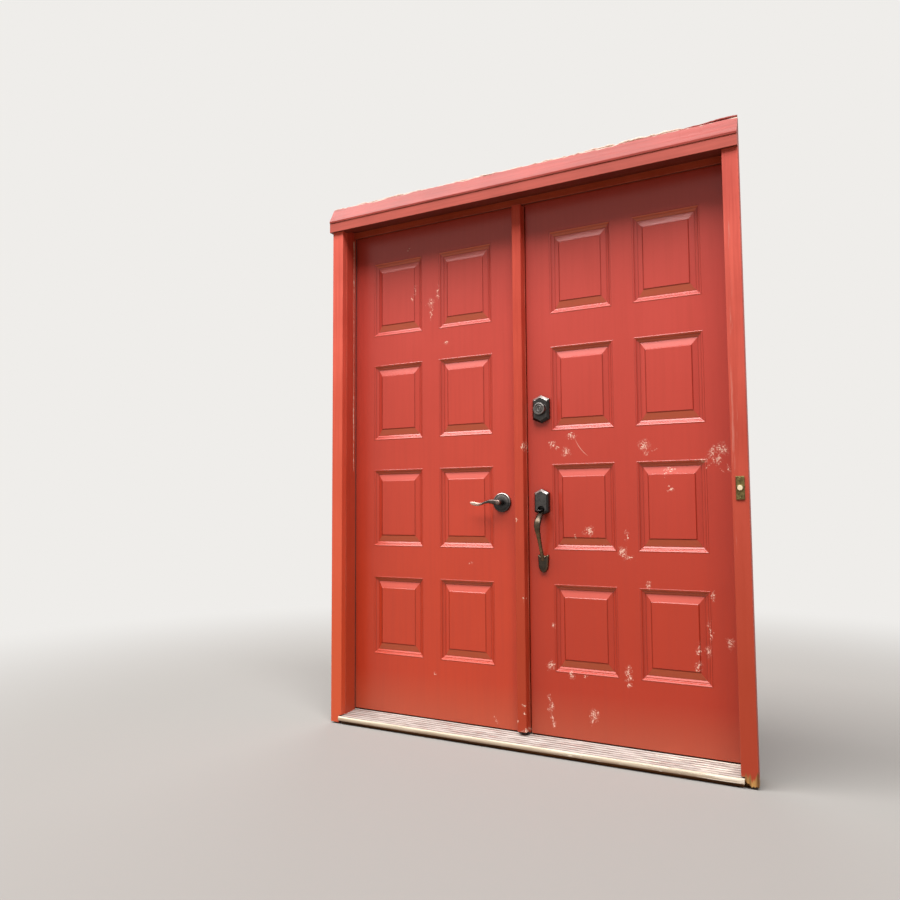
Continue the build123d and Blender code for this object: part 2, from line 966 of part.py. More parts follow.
def flush_bolt_seats():
    """Plate seats, rod holes and knob slots of both flush bolts."""
    cuts = []
    x, y = flush_rod_place()
    radius = flush_rod_radius + flush_rod_clearance
    for upper in (True, False):
        low, high = rod_span(upper)
        if upper:
            span = (low - flush_travel / 4, leaf_top)
        else:
            span = (leaf_bottom, high + flush_travel / 4)
        cuts.append(rod_z(radius, span[0], span[1], x, y))
        cuts.append(flush_plate_box(upper))
        cuts.append(flush_slot(upper))
    return cuts


def flush_plate(upper):
    """A flush bolt's face plate with its slot."""
    return flush_plate_box(upper) - flush_slot(upper)


def flush_bolt(upper):
    """A flush bolt's rod with the knob that slides it, drawn back."""
    low, high = rod_span(upper)
    x, y = flush_rod_place()
    rod = rod_z(flush_rod_radius, low, high, x, y)
    plate_low, plate_high = flush_plate_span(upper)
    middle = (plate_low + plate_high) / 2
    shift = -flush_travel / 2 if upper else flush_travel / 2
    z = middle + shift
    half_y = flush_knob_width / 2
    half_z = flush_knob_height / 2
    knob = block(x, stem_right - end_clearance, y - half_y, y + half_y, z - half_z, z + half_z)
    return rod + knob


def astragal_seal_box(extra):
    """The soft seal's space on the stem's edge, deeper into the stem by extra."""
    back = leaf_thickness - astragal_seal_setback
    front = back - astragal_seal_width
    return front, back, stem_right - extra, stem_right + astragal_seal_thickness


def astragal_seal_groove():
    """The stem keeps its full edge, so the groove is a shallow kerf for the seal's barb."""
    front, back, x0, x1 = astragal_seal_box(astragal_kerf_depth)
    middle = (front + back) / 2
    half = astragal_kerf_width / 2
    return [block(x0, stem_right, middle - half, middle + half, leaf_bottom, leaf_top)]


def astragal_seal():
    """The bulb seal on the stem's inner corner with its barb in the kerf."""
    front, back, x0, x1 = astragal_seal_box(astragal_kerf_depth)
    middle = (front + back) / 2
    half = astragal_kerf_width / 2
    plan = [
        (x0, middle - half),
        (stem_right, middle - half),
        (stem_right, front),
        (x1 - astragal_seal_round, front),
        (x1, front + 2 * astragal_seal_round),
        (x1, back - 2 * astragal_seal_round),
        (x1 - astragal_seal_round, back),
        (stem_right, back),
        (stem_right, middle + half),
        (x0, middle + half),
    ]
    return prism_z(plan, leaf_bottom, leaf_top)


def astragal_foot_pad():
    """The rubber pad below the stem, which closes the gap above the sill."""
    low = leaf_bottom - foot_pad_height
    x, y = flush_rod_place()
    back = leaf_thickness - foot_pad_setback
    pad = block(-half_gap, stem_right, -foot_pad_front, back, low, leaf_bottom)
    return pad - rod_z(flush_rod_radius + flush_rod_clearance, low, leaf_bottom, x, y)


# The locks


def faceplate(z):
    """A lock's faceplate, flush in the leaf's bevelled edge."""
    return faceplate_mortise(z) - lock_edge_cut()


def lock_case(z, bolt_thickness, bolt_width, bolt_length):
    """A bolt's tube and faceplate, open along the bolt."""
    radius = edge_bore_radius - edge_case_clearance
    start = half_gap + faceplate_mount_depth()
    end = lock_x - edge_case_setback
    tube = rod_x(radius, start, end, mid_thickness, z)
    channel = block(
        half_gap - 2 * faceplate_thickness,
        start + bolt_length + bolt_back_room,
        mid_thickness - bolt_thickness / 2 - bolt_clearance,
        mid_thickness + bolt_thickness / 2 + bolt_clearance,
        z - bolt_width / 2 - bolt_clearance,
        z + bolt_width / 2 + bolt_clearance,
    )
    return tube + faceplate(z) - channel


def bolt_nose():
    """Where a drawn-back bolt's nose lies, just inside the faceplate."""
    return edge_at(mid_thickness) + bolt_recess


def deadbolt():
    """The square-nosed bolt, drawn back into the leaf."""
    x0 = bolt_nose()
    bolt = block(
        x0,
        x0 + deadbolt_length,
        mid_thickness - deadbolt_thickness / 2,
        mid_thickness + deadbolt_thickness / 2,
        deadbolt_z - deadbolt_width / 2,
        deadbolt_z + deadbolt_width / 2,
    )
    nose = bolt.faces().sort_by(Axis.X)[0]
    return chamfer(nose.edges(), bolt_edge_break)


def latch_bolt():
    """The spring latch with its nose sloped on the outside, drawn back into the leaf."""
    x0 = bolt_nose()
    y0 = mid_thickness - latch_thickness / 2
    y1 = mid_thickness + latch_thickness / 2
    plan = [
        (x0, y1),
        (x0, y1 - latch_nose_flat),
        (x0 + latch_throw - latch_nose_flat, y0),
        (x0 + latch_length, y0),
        (x0 + latch_length, y1),
    ]
    return prism_z(plan, latch_z - latch_width / 2, latch_z + latch_width / 2)


def deadbolt_rose():
    """The gabled outside rose with the round collar that guards the key plug."""
    plate = gabled_plate(rose_width, rose_height, rose_gable, rose_thickness, rose_chamfer)
    collar_profile = Polygon(
        (0, -rose_thickness / 2),
        (collar_radius, -rose_thickness / 2),
        (collar_radius, -rose_thickness - collar_band),
        (collar_front_radius, -collar_proud),
        (0, -collar_proud),
        align=None,
    )
    collar = revolve(collar_profile, Axis.Y)
    bore = rod_y(plug_radius + plug_clearance, -collar_proud, 0, 0, 0)
    return Pos(lock_x, 0, deadbolt_z) * (plate + collar - bore)


def key_plug():
    """The plug that the key turns, with its keyway and the tail that drives the bolt."""
    front = -collar_proud + plug_recess
    plug = rod_y(plug_radius, front, front + plug_length, 0, 0)
    keyway = block(
        -keyway_width / 2,
        keyway_width / 2,
        front,
        front + keyway_depth,
        -keyway_height / 2,
        keyway_height / 2,
    )
    return Pos(lock_x, 0, deadbolt_z) * (plug - keyway)


def round_rose(radius, thickness, step):
    """A round rose on y = 0 towards -Y, with a stepped and softly domed face."""
    rim = thickness - step
    profile = Polygon(
        (0, 0),
        (radius, 0),
        (radius, -rim + rose_edge_break),
        (radius - rose_edge_break, -rim),
        (radius - rose_rim_width, -rim),
        (radius - rose_rim_width - rose_edge_break, -thickness),
        (0, -thickness),
        align=None,
    )
    return revolve(profile, Axis.Y)


def oval_section(plane, width, height):
    """An oval section of a cast handle on a plane, with short flats round it."""
    points = []
    for side in range(oval_sides):
        angle = 2 * math.pi * (side + 0.5) / oval_sides
        points.append((width / 2 * math.cos(angle), height / 2 * math.sin(angle)))
    return plane * Polygon(*points, align=None)


def to_inside(shape):
    """Turns a piece made on the outside face half round, onto the inside face."""
    return Pos(0, leaf_thickness, 0) * Rot(0, 0, 180) * shape


def thumb_turn_rose():
    """The gabled rose inside, behind the thumb turn."""
    plate = gabled_plate(rose_width, rose_height, rose_gable, inside_rose_thickness, rose_chamfer / 2)
    hole = rod_y(turn_neck_radius + plug_clearance, -inside_rose_thickness, 0, 0, 0)
    return Pos(lock_x, 0, deadbolt_z) * to_inside(plate - hole)


def thumb_turn():
    """The thumb turn with its neck and the flat tail that reaches the bolt's case."""
    neck = rod_y(turn_neck_radius, -inside_rose_thickness - turn_standoff, 0, 0, 0)
    back = -inside_rose_thickness - turn_standoff
    wing = SlotOverall(turn_width, turn_height)
    wing = Plane.XZ * Rot(0, 0, 90) * wing
    paddle = Pos(0, back, 0) * extrude(wing, amount=turn_thickness, dir=(0, -1, 0))
    tail = block(
        -spindle_thickness / 2,
        spindle_thickness / 2,
        0,
        mid_thickness + spindle_past_middle,
        -spindle_width / 2,
        spindle_width / 2,
    )
    return Pos(lock_x, 0, deadbolt_z) * to_inside(neck + paddle + tail)


def lever_path():
    """Stations of the waved lever as (x, drop, height, thickness) from root to tip."""
    root = lever_root_height
    waist = lever_waist_height
    tip = lever_tip_height
    return [
        (0.0, 0.0, root * 0.95, lever_root_thickness),
        (0.10, -1.0, root, lever_root_thickness),
        (0.27, -1.5, root * 0.92, lever_root_thickness * 0.9),
        (0.45, lever_dip * 0.38, (root + waist) / 2, (lever_root_thickness + lever_waist_thickness) / 2),
        (0.62, lever_dip * 0.92, waist, lever_waist_thickness),
        (0.76, lever_dip, waist * 0.95, lever_waist_thickness * 0.9),
        (0.89, lever_dip * 0.78, tip * 0.85, (lever_waist_thickness + lever_tip_thickness) / 2),
        (1.0, lever_tip_drop, tip, lever_tip_thickness),
    ]


def waved_lever():
    """A waved lever on y = 0 towards -Y that reaches along -X, with its neck."""
    middle_y = -lever_standoff
    stations = lever_path()
    points = [(-share * lever_reach, -drop) for share, drop, height, thickness in stations]
    sections = []
    for index, (share, drop, height, thickness) in enumerate(stations):
        before = points[max(index - 1, 0)]
        after = points[min(index + 1, len(points) - 1)]
        along = Vector(after[0] - before[0], 0, after[1] - before[1]).normalized()
        x, z = points[index]
        plane = Plane(origin=(x, middle_y, z), x_dir=(0, 1, 0), z_dir=along)
        sections.append(oval_section(plane, thickness, height))
    arm = loft(sections)
    seat = -lever_rose_thickness + lever_seat_depth
    hub = rod_y(lever_neck_radius, middle_y - lever_root_thickness / 2, seat, 0, 0)
    hub = chamfer(hub.faces().sort_by(Axis.Y)[0].edges(), lever_neck_chamfer)
    return arm + hub


def fixed_rose():
    """The round rose behind the fixed lever, with a seat for the lever's neck."""
    rose = round_rose(lever_rose_radius, lever_rose_thickness, lever_rose_step)
    seat = -lever_rose_thickness + lever_seat_depth
    return rose - rod_y(lever_neck_radius, -2 * lever_rose_thickness, seat, 0, 0)


def turning_lever():
    """The inside lever of the working lock, with the shaft that reaches the latch."""
    seat = -lever_rose_thickness + lever_seat_depth
    shaft = rod_y(lever_shaft_radius, seat, lever_shaft_reach, 0, 0)
    return waved_lever() + shaft


def working_rose():
    """The inside rose of the working lock, bored for the lever's neck and shaft."""
    rose = round_rose(lever_rose_radius, lever_rose_thickness, lever_rose_step)
    seat = -lever_rose_thickness + lever_seat_depth + end_clearance
    neck = rod_y(lever_neck_radius + plug_clearance, -2 * lever_rose_thickness, seat, 0, 0)
    shaft = rod_y(lever_shaft_radius + plug_clearance, -lever_rose_thickness, 0, 0, 0)
    return rose - neck - shaft


# The thumb-latch handle set


def escutcheon():
    """The upper plate of the handle set, with the slot that the thumb piece works in."""
    plate = gabled_plate(
        escutcheon_width,
        escutcheon_height,
        escutcheon_gable,
        escutcheon_depth,
        escutcheon_chamfer,
    )
    slot = block(
        -thumb_slot_width / 2,
        thumb_slot_width / 2,
        -escutcheon_depth,
        0,
        -thumb_drop - thumb_slot_height / 2,
        -thumb_drop + thumb_slot_height / 2,
    )
    return Pos(lock_x, 0, latch_z) * (plate - slot)


def thumb_piece():
    """The thumb piece, pressed down: a dished pad outside and a tail that lifts the latch."""
    half = thumb_width / 2
    front = escutcheon_depth - thumb_pivot_depth
    reach = front + 2 * thumb_pad_clearance
    arm = block(-half, half, -reach, thumb_tail, -thumb_thickness / 2, thumb_thickness / 2)
    pad = block(
        -thumb_pad_width / 2,
        thumb_pad_width / 2,
        -front - thumb_pad_length,
        -front - thumb_pad_clearance,
        -thumb_thickness / 2,
        thumb_thickness / 2,
    )
    corners = pad.edges().filter_by(Axis.Z).group_by(Axis.Y)[0]
    pad = fillet(corners, thumb_pad_width / 3)
    piece = Rot(thumb_travel_deg, 0, 0) * (arm + pad)
    pivot = Pos(lock_x, -thumb_pivot_depth, latch_z - thumb_drop)
    return pivot * piece


def grip_stations():
    """Stations of the grip as (y, z above the leaf's bottom, width, thickness)."""
    top = latch_height - escutcheon_height / 2
    foot_top = handle_bottom + foot_height
    drop = top - foot_top
    wide = grip_top_width
    thick = grip_top_thickness
    slim = grip_end_width
    thin = grip_end_thickness
    out = grip_standoff
    return [
        (-escutcheon_depth * 0.55, top + 0.09 * escutcheon_height, wide * 0.85, thick * 0.95),
        (-escutcheon_depth * 1.25, top + 0.03 * escutcheon_height, wide * 0.95, thick),
        (-out * 0.86, top - 0.10 * drop, wide, thick),
        (-out, top - 0.29 * drop, wide * 0.95, thick * 0.95),
        (-out * 0.93, top - 0.52 * drop, (wide + slim) / 2, (thick + thin) / 2),
        (-out * 0.74, top - 0.76 * drop, slim, thin),
        (-out * 0.52, top - 0.93 * drop, slim, thin),
        (-foot_depth * 1.35, foot_top - 0.06 * foot_height, slim * 1.15, thin),
        (-foot_depth * 0.6, foot_top - 0.18 * foot_height, slim * 1.15, thin),
    ]


def foot_plate():
    """The grip's foot plate towards -Y: two small horns above and a rounded point below."""
    half = foot_width / 2
    high = foot_height / 2
    shoulder = high - foot_shoulder
    tip = (0, -high)
    crown = Polyline((-half, shoulder), (-half, high), (0, high - foot_dip), (half, high), (half, shoulder))
    right = TangentArc((half, shoulder), tip, tangent=(0, -1))
    left = TangentArc((-half, shoulder), tip, tangent=(0, -1))
    outline = Plane.XZ * make_face([*crown.edges(), right, left])
    plate = extrude(outline, amount=foot_depth, dir=(0, -1, 0))
    return chamfer(plate.faces().sort_by(Axis.Y)[0].edges(), foot_chamfer)


def pull_grip():
    """The cast grip that bows out from the escutcheon and runs down into its foot plate."""
    stations = grip_stations()
    sections = []
    for index, (y, z, width, thickness) in enumerate(stations):
        before = stations[max(index - 1, 0)]
        after = stations[min(index + 1, len(stations) - 1)]
        along = Vector(0, after[0] - before[0], after[1] - before[1]).normalized()
        plane = Plane(origin=(0, y, z), x_dir=(1, 0, 0), z_dir=along)
        sections.append(oval_section(plane, width, thickness))
    bow = loft(sections)
    plate = Pos(0, 0, handle_bottom + foot_height / 2) * foot_plate()
    behind = block(-foot_width, foot_width, 0, escutcheon_depth, 0, latch_height)
    grip = Pos(lock_x, 0, leaf_bottom) * (bow + plate - behind)
    solid_escutcheon = gabled_plate(
        escutcheon_width,
        escutcheon_height,
        escutcheon_gable,
        escutcheon_depth,
        escutcheon_chamfer,
    )
    return grip - Pos(lock_x, 0, latch_z) * solid_escutcheon


# The doorbell


def bell_place():
    """The middle of the doorbell on the right casing's face."""
    return Pos((casing_inner + casing_outer) / 2, casing_front, leaf_bottom + bell_height)


def doorbell_plate():
    """The doorbell's bevelled plate with its round bezel."""
    plate = block(
        -bell_plate_width / 2,
        bell_plate_width / 2,
        -bell_plate_thickness,
        0,
        -bell_plate_height / 2,
        bell_plate_height / 2,
    )
    plate = chamfer(plate.faces().sort_by(Axis.Y)[0].edges(), bell_plate_chamfer)
    front = -bell_plate_thickness - bell_bezel_thickness
    bezel = rod_y(bell_bezel_radius, front, -bell_plate_thickness, 0, 0)
    bezel = chamfer(bezel.faces().sort_by(Axis.Y)[0].edges(), bell_bezel_thickness / 2)
    well = rod_y(bell_button_radius + bell_button_clearance, front, -end_clearance, 0, 0)
    return bell_place() * (plate + bezel - well)


def bell_button():
    """The round button, out, with a softened edge."""
    front = -bell_plate_thickness - bell_bezel_thickness - bell_button_proud
    back = -end_clearance - bell_travel - end_clearance
    button = rod_y(bell_button_radius, front, back, 0, 0)
    return bell_place() * chamfer(button.faces().sort_by(Axis.Y)[0].edges(), bell_button_edge)


def save(name, pieces):
    """Writes one node from one solid or from a group of separate solids."""
    if isinstance(pieces, list):
        solids = [solid for piece in pieces for solid in piece.solids()]
        shape = Compound(children=solids) if len(solids) > 1 else solids[0]
    else:
        solids = pieces.solids()
        shape = Compound(children=solids) if len(solids) > 1 else solids[0]
    export_step(shape, "parts/" + name + ".step")


def save_frame():
    """Writes the pieces that stay with the wall."""
    jamb = side_jamb()
    save("right_jamb", jamb)
    save("left_jamb", mirror_x(jamb))
    save("head_jamb", head_jamb())
    save("head_stop", head_stop())
    save("right_casing", side_casing(rotten_foot()))
    save("left_casing", mirror_x(side_casing(sound_foot())))
    save("head_casing", head_casing())
    save("drip_cap", drip_cap())
    save("sill_base", sill_base())
    save("sill_tread", sill_tread())
    save("sill_cap", sill_cap())
    strip = side_weatherstrip()
    save("side_weatherstrips", [strip, mirror_x(strip)])
    save("head_weatherstrip", head_weatherstrip())
    plates = at_hinges(hinge_plate(False))
    save("right_hinge_frame_plates", plates)
    save("left_hinge_frame_plates", [mirror_x(plate) for plate in plates])
    pins = at_hinges(hinge_pin())
    save("hinge_pins", pins + [mirror_x(pin) for pin in pins])
    save("doorbell_plate", doorbell_plate())
    save("doorbell_button", bell_button())


def save_leaves():
    """Writes the pieces of both leaves."""
    for side in ("left", "right"):
        pieces = leaf_pieces(side)
        if side == "left":
            pieces = {name: mirror_x(piece) for name, piece in pieces.items()}
        save(side + "_outer_skin", pieces["outer_skin"])
        save(side + "_inner_skin", pieces["inner_skin"])
        save(side + "_leaf_stiles", [pieces["lock_stile"], pieces["hinge_stile"]])
        save(side + "_leaf_rails", [pieces["top_rail"], pieces["bottom_rail"]])
        save(side + "_foam_core", pieces["core"])
        save(side + "_door_sweep", pieces["sweep"])
        if side == "right":
            save("lock_block", pieces["lock_block"])
        plates = at_hinges(hinge_plate(True))
        if side == "left":
            plates = [mirror_x(plate) for plate in plates]
        save(side + "_hinge_leaf_plates", plates)


def save_meeting_post():
    """Writes the astragal with its seals, strikes and bolts."""
    save("astragal", astragal())
    save("astragal_seal", astragal_seal())
    save("astragal_foot_pad", astragal_foot_pad())
    save("deadbolt_strike", strike(0))
    save("latch_strike", strike(1))
    save("flush_bolt_plates", [flush_plate(True), flush_plate(False)])
    save("head_bolt", flush_bolt(True))
    save("foot_bolt", flush_bolt(False))


def save_locks():
    """Writes the locks and handles."""
    save("deadbolt_rose", deadbolt_rose())
    save("key_plug", key_plug())
    save("deadbolt_case", lock_case(deadbolt_z, deadbolt_thickness, deadbolt_width, deadbolt_length))
    save("deadbolt", deadbolt())
    save("thumb_turn_rose", thumb_turn_rose())
    save("thumb_turn", thumb_turn())
    save("handle_escutcheon", escutcheon())
    save("pull_grip", pull_grip())
    save("thumb_piece", thumb_piece())
    save("latch_case", lock_case(latch_z, latch_thickness, latch_width, latch_length))
    save("latch_bolt", latch_bolt())
    place = Pos(lock_x, 0, latch_z)
    save("right_inside_rose", place * to_inside(working_rose()))
    save("right_inside_lever", place * to_inside(turning_lever()))
    left = Pos(-lock_x, 0, latch_z)
    save("left_outside_rose", left * fixed_rose())
    save("left_outside_lever", left * waved_lever())
    save("left_inside_rose", left * to_inside(fixed_rose()))
    save("left_inside_lever", left * to_inside(mirror_x(waved_lever())))


os.makedirs("parts", exist_ok=True)
save_frame()
save_leaves()
save_meeting_post()
save_locks()
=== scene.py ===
import math

import bpy
import numpy as np
from mathutils import Matrix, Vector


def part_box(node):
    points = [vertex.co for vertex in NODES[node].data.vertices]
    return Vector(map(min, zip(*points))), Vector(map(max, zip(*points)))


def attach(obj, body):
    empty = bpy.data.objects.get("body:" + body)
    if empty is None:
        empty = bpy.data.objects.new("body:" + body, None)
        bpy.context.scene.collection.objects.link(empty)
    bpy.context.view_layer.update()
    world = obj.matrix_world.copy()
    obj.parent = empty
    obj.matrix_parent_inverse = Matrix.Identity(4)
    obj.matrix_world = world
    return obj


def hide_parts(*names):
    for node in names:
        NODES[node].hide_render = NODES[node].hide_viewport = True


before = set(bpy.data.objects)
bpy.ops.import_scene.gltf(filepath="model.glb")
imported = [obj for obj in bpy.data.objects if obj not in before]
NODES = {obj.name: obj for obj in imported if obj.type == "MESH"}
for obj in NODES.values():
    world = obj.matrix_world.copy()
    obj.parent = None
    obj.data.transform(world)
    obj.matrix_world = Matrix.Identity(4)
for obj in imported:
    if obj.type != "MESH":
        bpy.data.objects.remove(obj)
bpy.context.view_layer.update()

MM = 0.001


def corners_of(node):
    """A node's lowest and highest corners in millimetres."""
    return [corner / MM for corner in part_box(node)]


# Where things are, in millimetres
plug_low, plug_high = corners_of("key_plug")
skin_low, skin_high = corners_of("right_outer_skin")
rose_low, rose_high = corners_of("left_outside_rose")
casing_low, casing_high = corners_of("right_casing")
drip_low, drip_high = corners_of("drip_cap")
bell_low, bell_high = corners_of("doorbell_plate")
lock_x = (plug_low.x + plug_high.x) / 2
deadbolt_z = (plug_low.z + plug_high.z) / 2
latch_z = (rose_low.z + rose_high.z) / 2
leaf_thickness = corners_of("left_inside_rose")[0].y
tread_front = corners_of("sill_tread")[0].y
post_right = corners_of("deadbolt_strike")[1].x
jamb_face = casing_low.x - 3.0

# What the boxes don't show: the height where the tread's deck meets Y = 0 and how steeply it rises, the
# underside of its nose, and how deep the doorbell's plate lies behind its button
DECK_HEIGHT = 39.5
DECK_SLOPE = 0.096
NOSE_LOW = 14.0
BELL_DEPTH = 3.0

# The lines that mirror the panels onto one another, across X and Z, and the half sizes of a panel's field
# and of its moulding's middle line
PANEL_FOLDS = {0: (0.0, 401.9, 159.5), 2: (1103.25, 444.5, 222.25)}
PANEL_FIELD = (80.5, 113.5)
PANEL_MOULDING = (109.5, 148.5)


# Colour and node helpers


def linear(code):
    """A colour from its sRGB hex code: each channel c becomes c / 12.92, or ((c + 0.055) / 1.055) ** 2.4."""
    channels = np.array([int(code[i:i + 2], 16) for i in (1, 3, 5)]) / 255
    low = channels / 12.92
    high = ((channels + 0.055) / 1.055) ** 2.4
    return (*np.where(channels <= 0.04045, low, high).tolist(), 1.0)


def feed(tree, node, links):
    """Links or fills a node's inputs."""
    for socket, value in links.items():
        if isinstance(value, bpy.types.NodeSocket):
            tree.links.new(value, node.inputs[socket])
        else:
            node.inputs[socket].default_value = value


def add(tree, kind, links=None, out=0, **settings):
    """Adds a node, makes its settings, feeds its inputs and returns one of its outputs."""
    made = tree.nodes.new(kind)
    for name, value in settings.items():
        setattr(made, name, value)
    feed(tree, made, links or {})
    return made.outputs[out]


def maths(tree, operation, *values):
    """The result of an operation on one to three numbers."""
    return add(tree, "ShaderNodeMath", dict(enumerate(values)), operation=operation)


def vectors(tree, operation, *values, out=0):
    """The result of an operation on vectors, which is a number where out is 1."""
    return add(tree, "ShaderNodeVectorMath", dict(enumerate(values)), out=out, operation=operation)


def largest_of(tree, values):
    """The largest of several numbers."""
    largest = values[0]
    for value in values[1:]:
        largest = maths(tree, "MAXIMUM", largest, value)
    return largest


def ramp(tree, value, low, high, start=0.0, end=1.0, **settings):
    """A number that runs from start to end while a value runs from low to high, and is held outside."""
    return add(tree, "ShaderNodeMapRange", {0: value, 1: low, 2: high, 3: start, 4: end}, **settings)


def blend(tree, share, under, over):
    """A colour between two others, which are outputs or hex codes."""
    under, over = (linear(value) if isinstance(value, str) else value for value in (under, over))
    return add(tree, "ShaderNodeMix", {0: share, 6: under, 7: over}, out=2, data_type="RGBA")


def tint(tree, under, over, value, low, high, start=0.0, end=1.0):
    """A colour between two others: its share runs from start to end while a value goes from low to high."""
    return blend(tree, ramp(tree, value, low, high, start, end), under, over)


def noise(tree, point, scale, detail, roughness=0.5, distortion=0.0, stretch=None, out=0):
    """A noise pattern as a number, or as a colour where out is 1. Its point may be stretched."""
    if stretch:
        point = add(tree, "ShaderNodeMapping", {"Vector": point, "Scale": stretch})
    pattern = {"Scale": scale, "Detail": detail, "Roughness": roughness, "Distortion": distortion}
    return add(tree, "ShaderNodeTexNoise", {"Vector": point, **pattern}, out=out)


def axes(tree, vector):
    """A vector's three parts."""
    made = tree.nodes.new("ShaderNodeSeparateXYZ")
    tree.links.new(vector, made.inputs[0])
    return made.outputs


def ray_is(tree, *kinds):
    """1 for rays of the given kinds and 0 for all others."""
    rays = tree.nodes.new("ShaderNodeLightPath").outputs
    return largest_of(tree, [rays[kind] for kind in kinds])


def bump(tree, height, strength, distance, under=None):
    """A normal tilted by a height pattern, over another normal if one is given."""
    inputs = {"Strength": strength, "Distance": distance, "Height": height}
    if under is not None:
        inputs["Normal"] = under
    return add(tree, "ShaderNodeBump", inputs)


def start_material(name):
    """A new material, its node tree, and the object coordinates that its patterns follow."""
    material = bpy.data.materials.new(name)
    material.use_nodes = True
    tree = material.node_tree
    tree.nodes.clear()
    shader = tree.nodes.new("ShaderNodeBsdfPrincipled")
    shader.name = "shader"
    feed(tree, tree.nodes.new("ShaderNodeOutputMaterial"), {"Surface": shader.outputs["BSDF"]})
    point = add(tree, "ShaderNodeTexCoord", out=3)
    return material, tree, point


def finished(material, tone, roughness, height, strength, distance, under=None, metallic=0.0,
             specular=0.5):
    """Gives a material its colour, its roughness and a relief that tilts its normal, and returns it."""
    tree = material.node_tree
    feed(tree, tree.nodes["shader"], {
        "Base Color": tone,
        "Roughness": roughness,
        "Metallic": metallic,
        "Specular IOR Level": specular,
        "Normal": bump(tree, height, strength, distance, under),
    })
    return material


def dress(material, *names):
    """Gives CAD nodes a material on all their faces."""
    for name in names:
        mesh = NODES[name].data
        mesh.materials.clear()
        mesh.materials.append(material)


# Materials


def flake_mask(tree, point, flakes):
    """The largest of several soft ellipses, each 1 less the distance from its middle over its half size.

    A flake is (x, z, half width, half height, lean in degrees), in millimetres on the leaf's face."""
    ellipses = []
    for x, z, half_width, half_height, lean in flakes:
        local = add(tree, "ShaderNodeMapping", {
            "Vector": point,
            "Location": (x * MM, 0.0, z * MM),
            "Rotation": (0.0, math.radians(lean), 0.0),
            "Scale": (half_width * MM, 1.0, half_height * MM),
        }, vector_type="TEXTURE")
        ellipses.append(add(tree, "ShaderNodeTexGradient", {"Vector": local}, out=1,
                            gradient_type="SPHERICAL"))
    return largest_of(tree, ellipses)


def arc_scratch(tree, point, arc):
    """A thin arc: the lower half of a ring of one radius round a middle, shown between two widths.

    An arc is (x, z, radius, x from, x to), in millimetres."""
    x, z, radius, start, end = arc
    place = axes(tree, point)
    flat = vectors(tree, "MULTIPLY", point, (1.0, 0.0, 1.0))
    away = vectors(tree, "DISTANCE", flat, (x * MM, 0.0, z * MM), out=1)
    ring = band(tree, away, radius, 1.6, 0.6)
    inside = band(tree, place[0], (start + end) / 2, (end - start) / 2, 1.0)
    below = maths(tree, "LESS_THAN", place[2], z * MM)
    ring = maths(tree, "MULTIPLY", ring, inside)
    return maths(tree, "MULTIPLY", ring, below)


def chipped(tree, point, flakes):
    """Where the paint is thin or gone: scuffs, thin scratch lines and a few bare patches in bent ellipses,
    and the fine noise that roughens them.

    A noise moves each point before the ellipses are drawn. A patch is where ellipse plus noise passes a
    limit, a line is where a second noise is near a half, and a scuff is a fine noise that fades out."""
    drift = noise(tree, point, 62.0, 3.0, 0.6, out=1)
    drift = vectors(tree, "SUBTRACT", drift, (0.5, 0.5, 0.5))
    bent = vectors(tree, "MULTIPLY_ADD", drift, (0.045, 0.0, 0.045), point)
    near = flake_mask(tree, bent, flakes)
    grit = noise(tree, point, 150.0, 5.0, 0.75)
    rough = maths(tree, "MULTIPLY_ADD", grit, 3.4, -1.7)
    reach = maths(tree, "ADD", near, rough)
    patch = ramp(tree, reach, 0.68, 0.82, interpolation_type="SMOOTHSTEP")
    # Scratches are under 1 mm wide; they are drawn at 2 mm so that they show
    sketch = noise(tree, point, 85.0, 2.0, 0.5, 1.6)
    middle = maths(tree, "SUBTRACT", sketch, 0.5)
    middle = maths(tree, "ABSOLUTE", middle)
    line = ramp(tree, middle, 0.010, 0.034, 0.8, 0.0)
    breaks = ramp(tree, grit, 0.42, 0.55)
    line = maths(tree, "MULTIPLY", line, breaks)
    scuff = ramp(tree, grit, 0.46, 0.62, 0.0, 0.32)
    line = largest_of(tree, [line, scuff])
    close = ramp(tree, near, 0.05, 0.40)
    line = maths(tree, "MULTIPLY", line, close)
    bare = largest_of(tree, [patch, line])
    inside = maths(tree, "GREATER_THAN", near, 0.04)
    bare = maths(tree, "MULTIPLY", bare, inside)
    return bare, grit


def past_panel_edge(tree, place, half_sizes):
    """How far a point of a leaf lies outside the nearest of the rectangles of one size round the panels.

    Each direction is folded on the lines that mirror the panels onto one another, until one panel's
    middle is left. The larger of the two distances less the half sizes is the result."""
    away = []
    for axis, half in zip(PANEL_FOLDS, half_sizes):
        value = place[axis]
        for fold in PANEL_FOLDS[axis]:
            value = maths(tree, "SUBTRACT", value, fold * MM)
            value = maths(tree, "ABSOLUTE", value)
        away.append(maths(tree, "SUBTRACT", value, half * MM))
    return largest_of(tree, away)


def band(tree, value, middle, half, strength):
    """A soft line where a value in metres is near its middle, both given in millimetres."""
    off = maths(tree, "SUBTRACT", value, middle * MM)
    off = maths(tree, "ABSOLUTE", off)
    return ramp(tree, off, half * 0.4 * MM, half * MM, strength, 0.0)


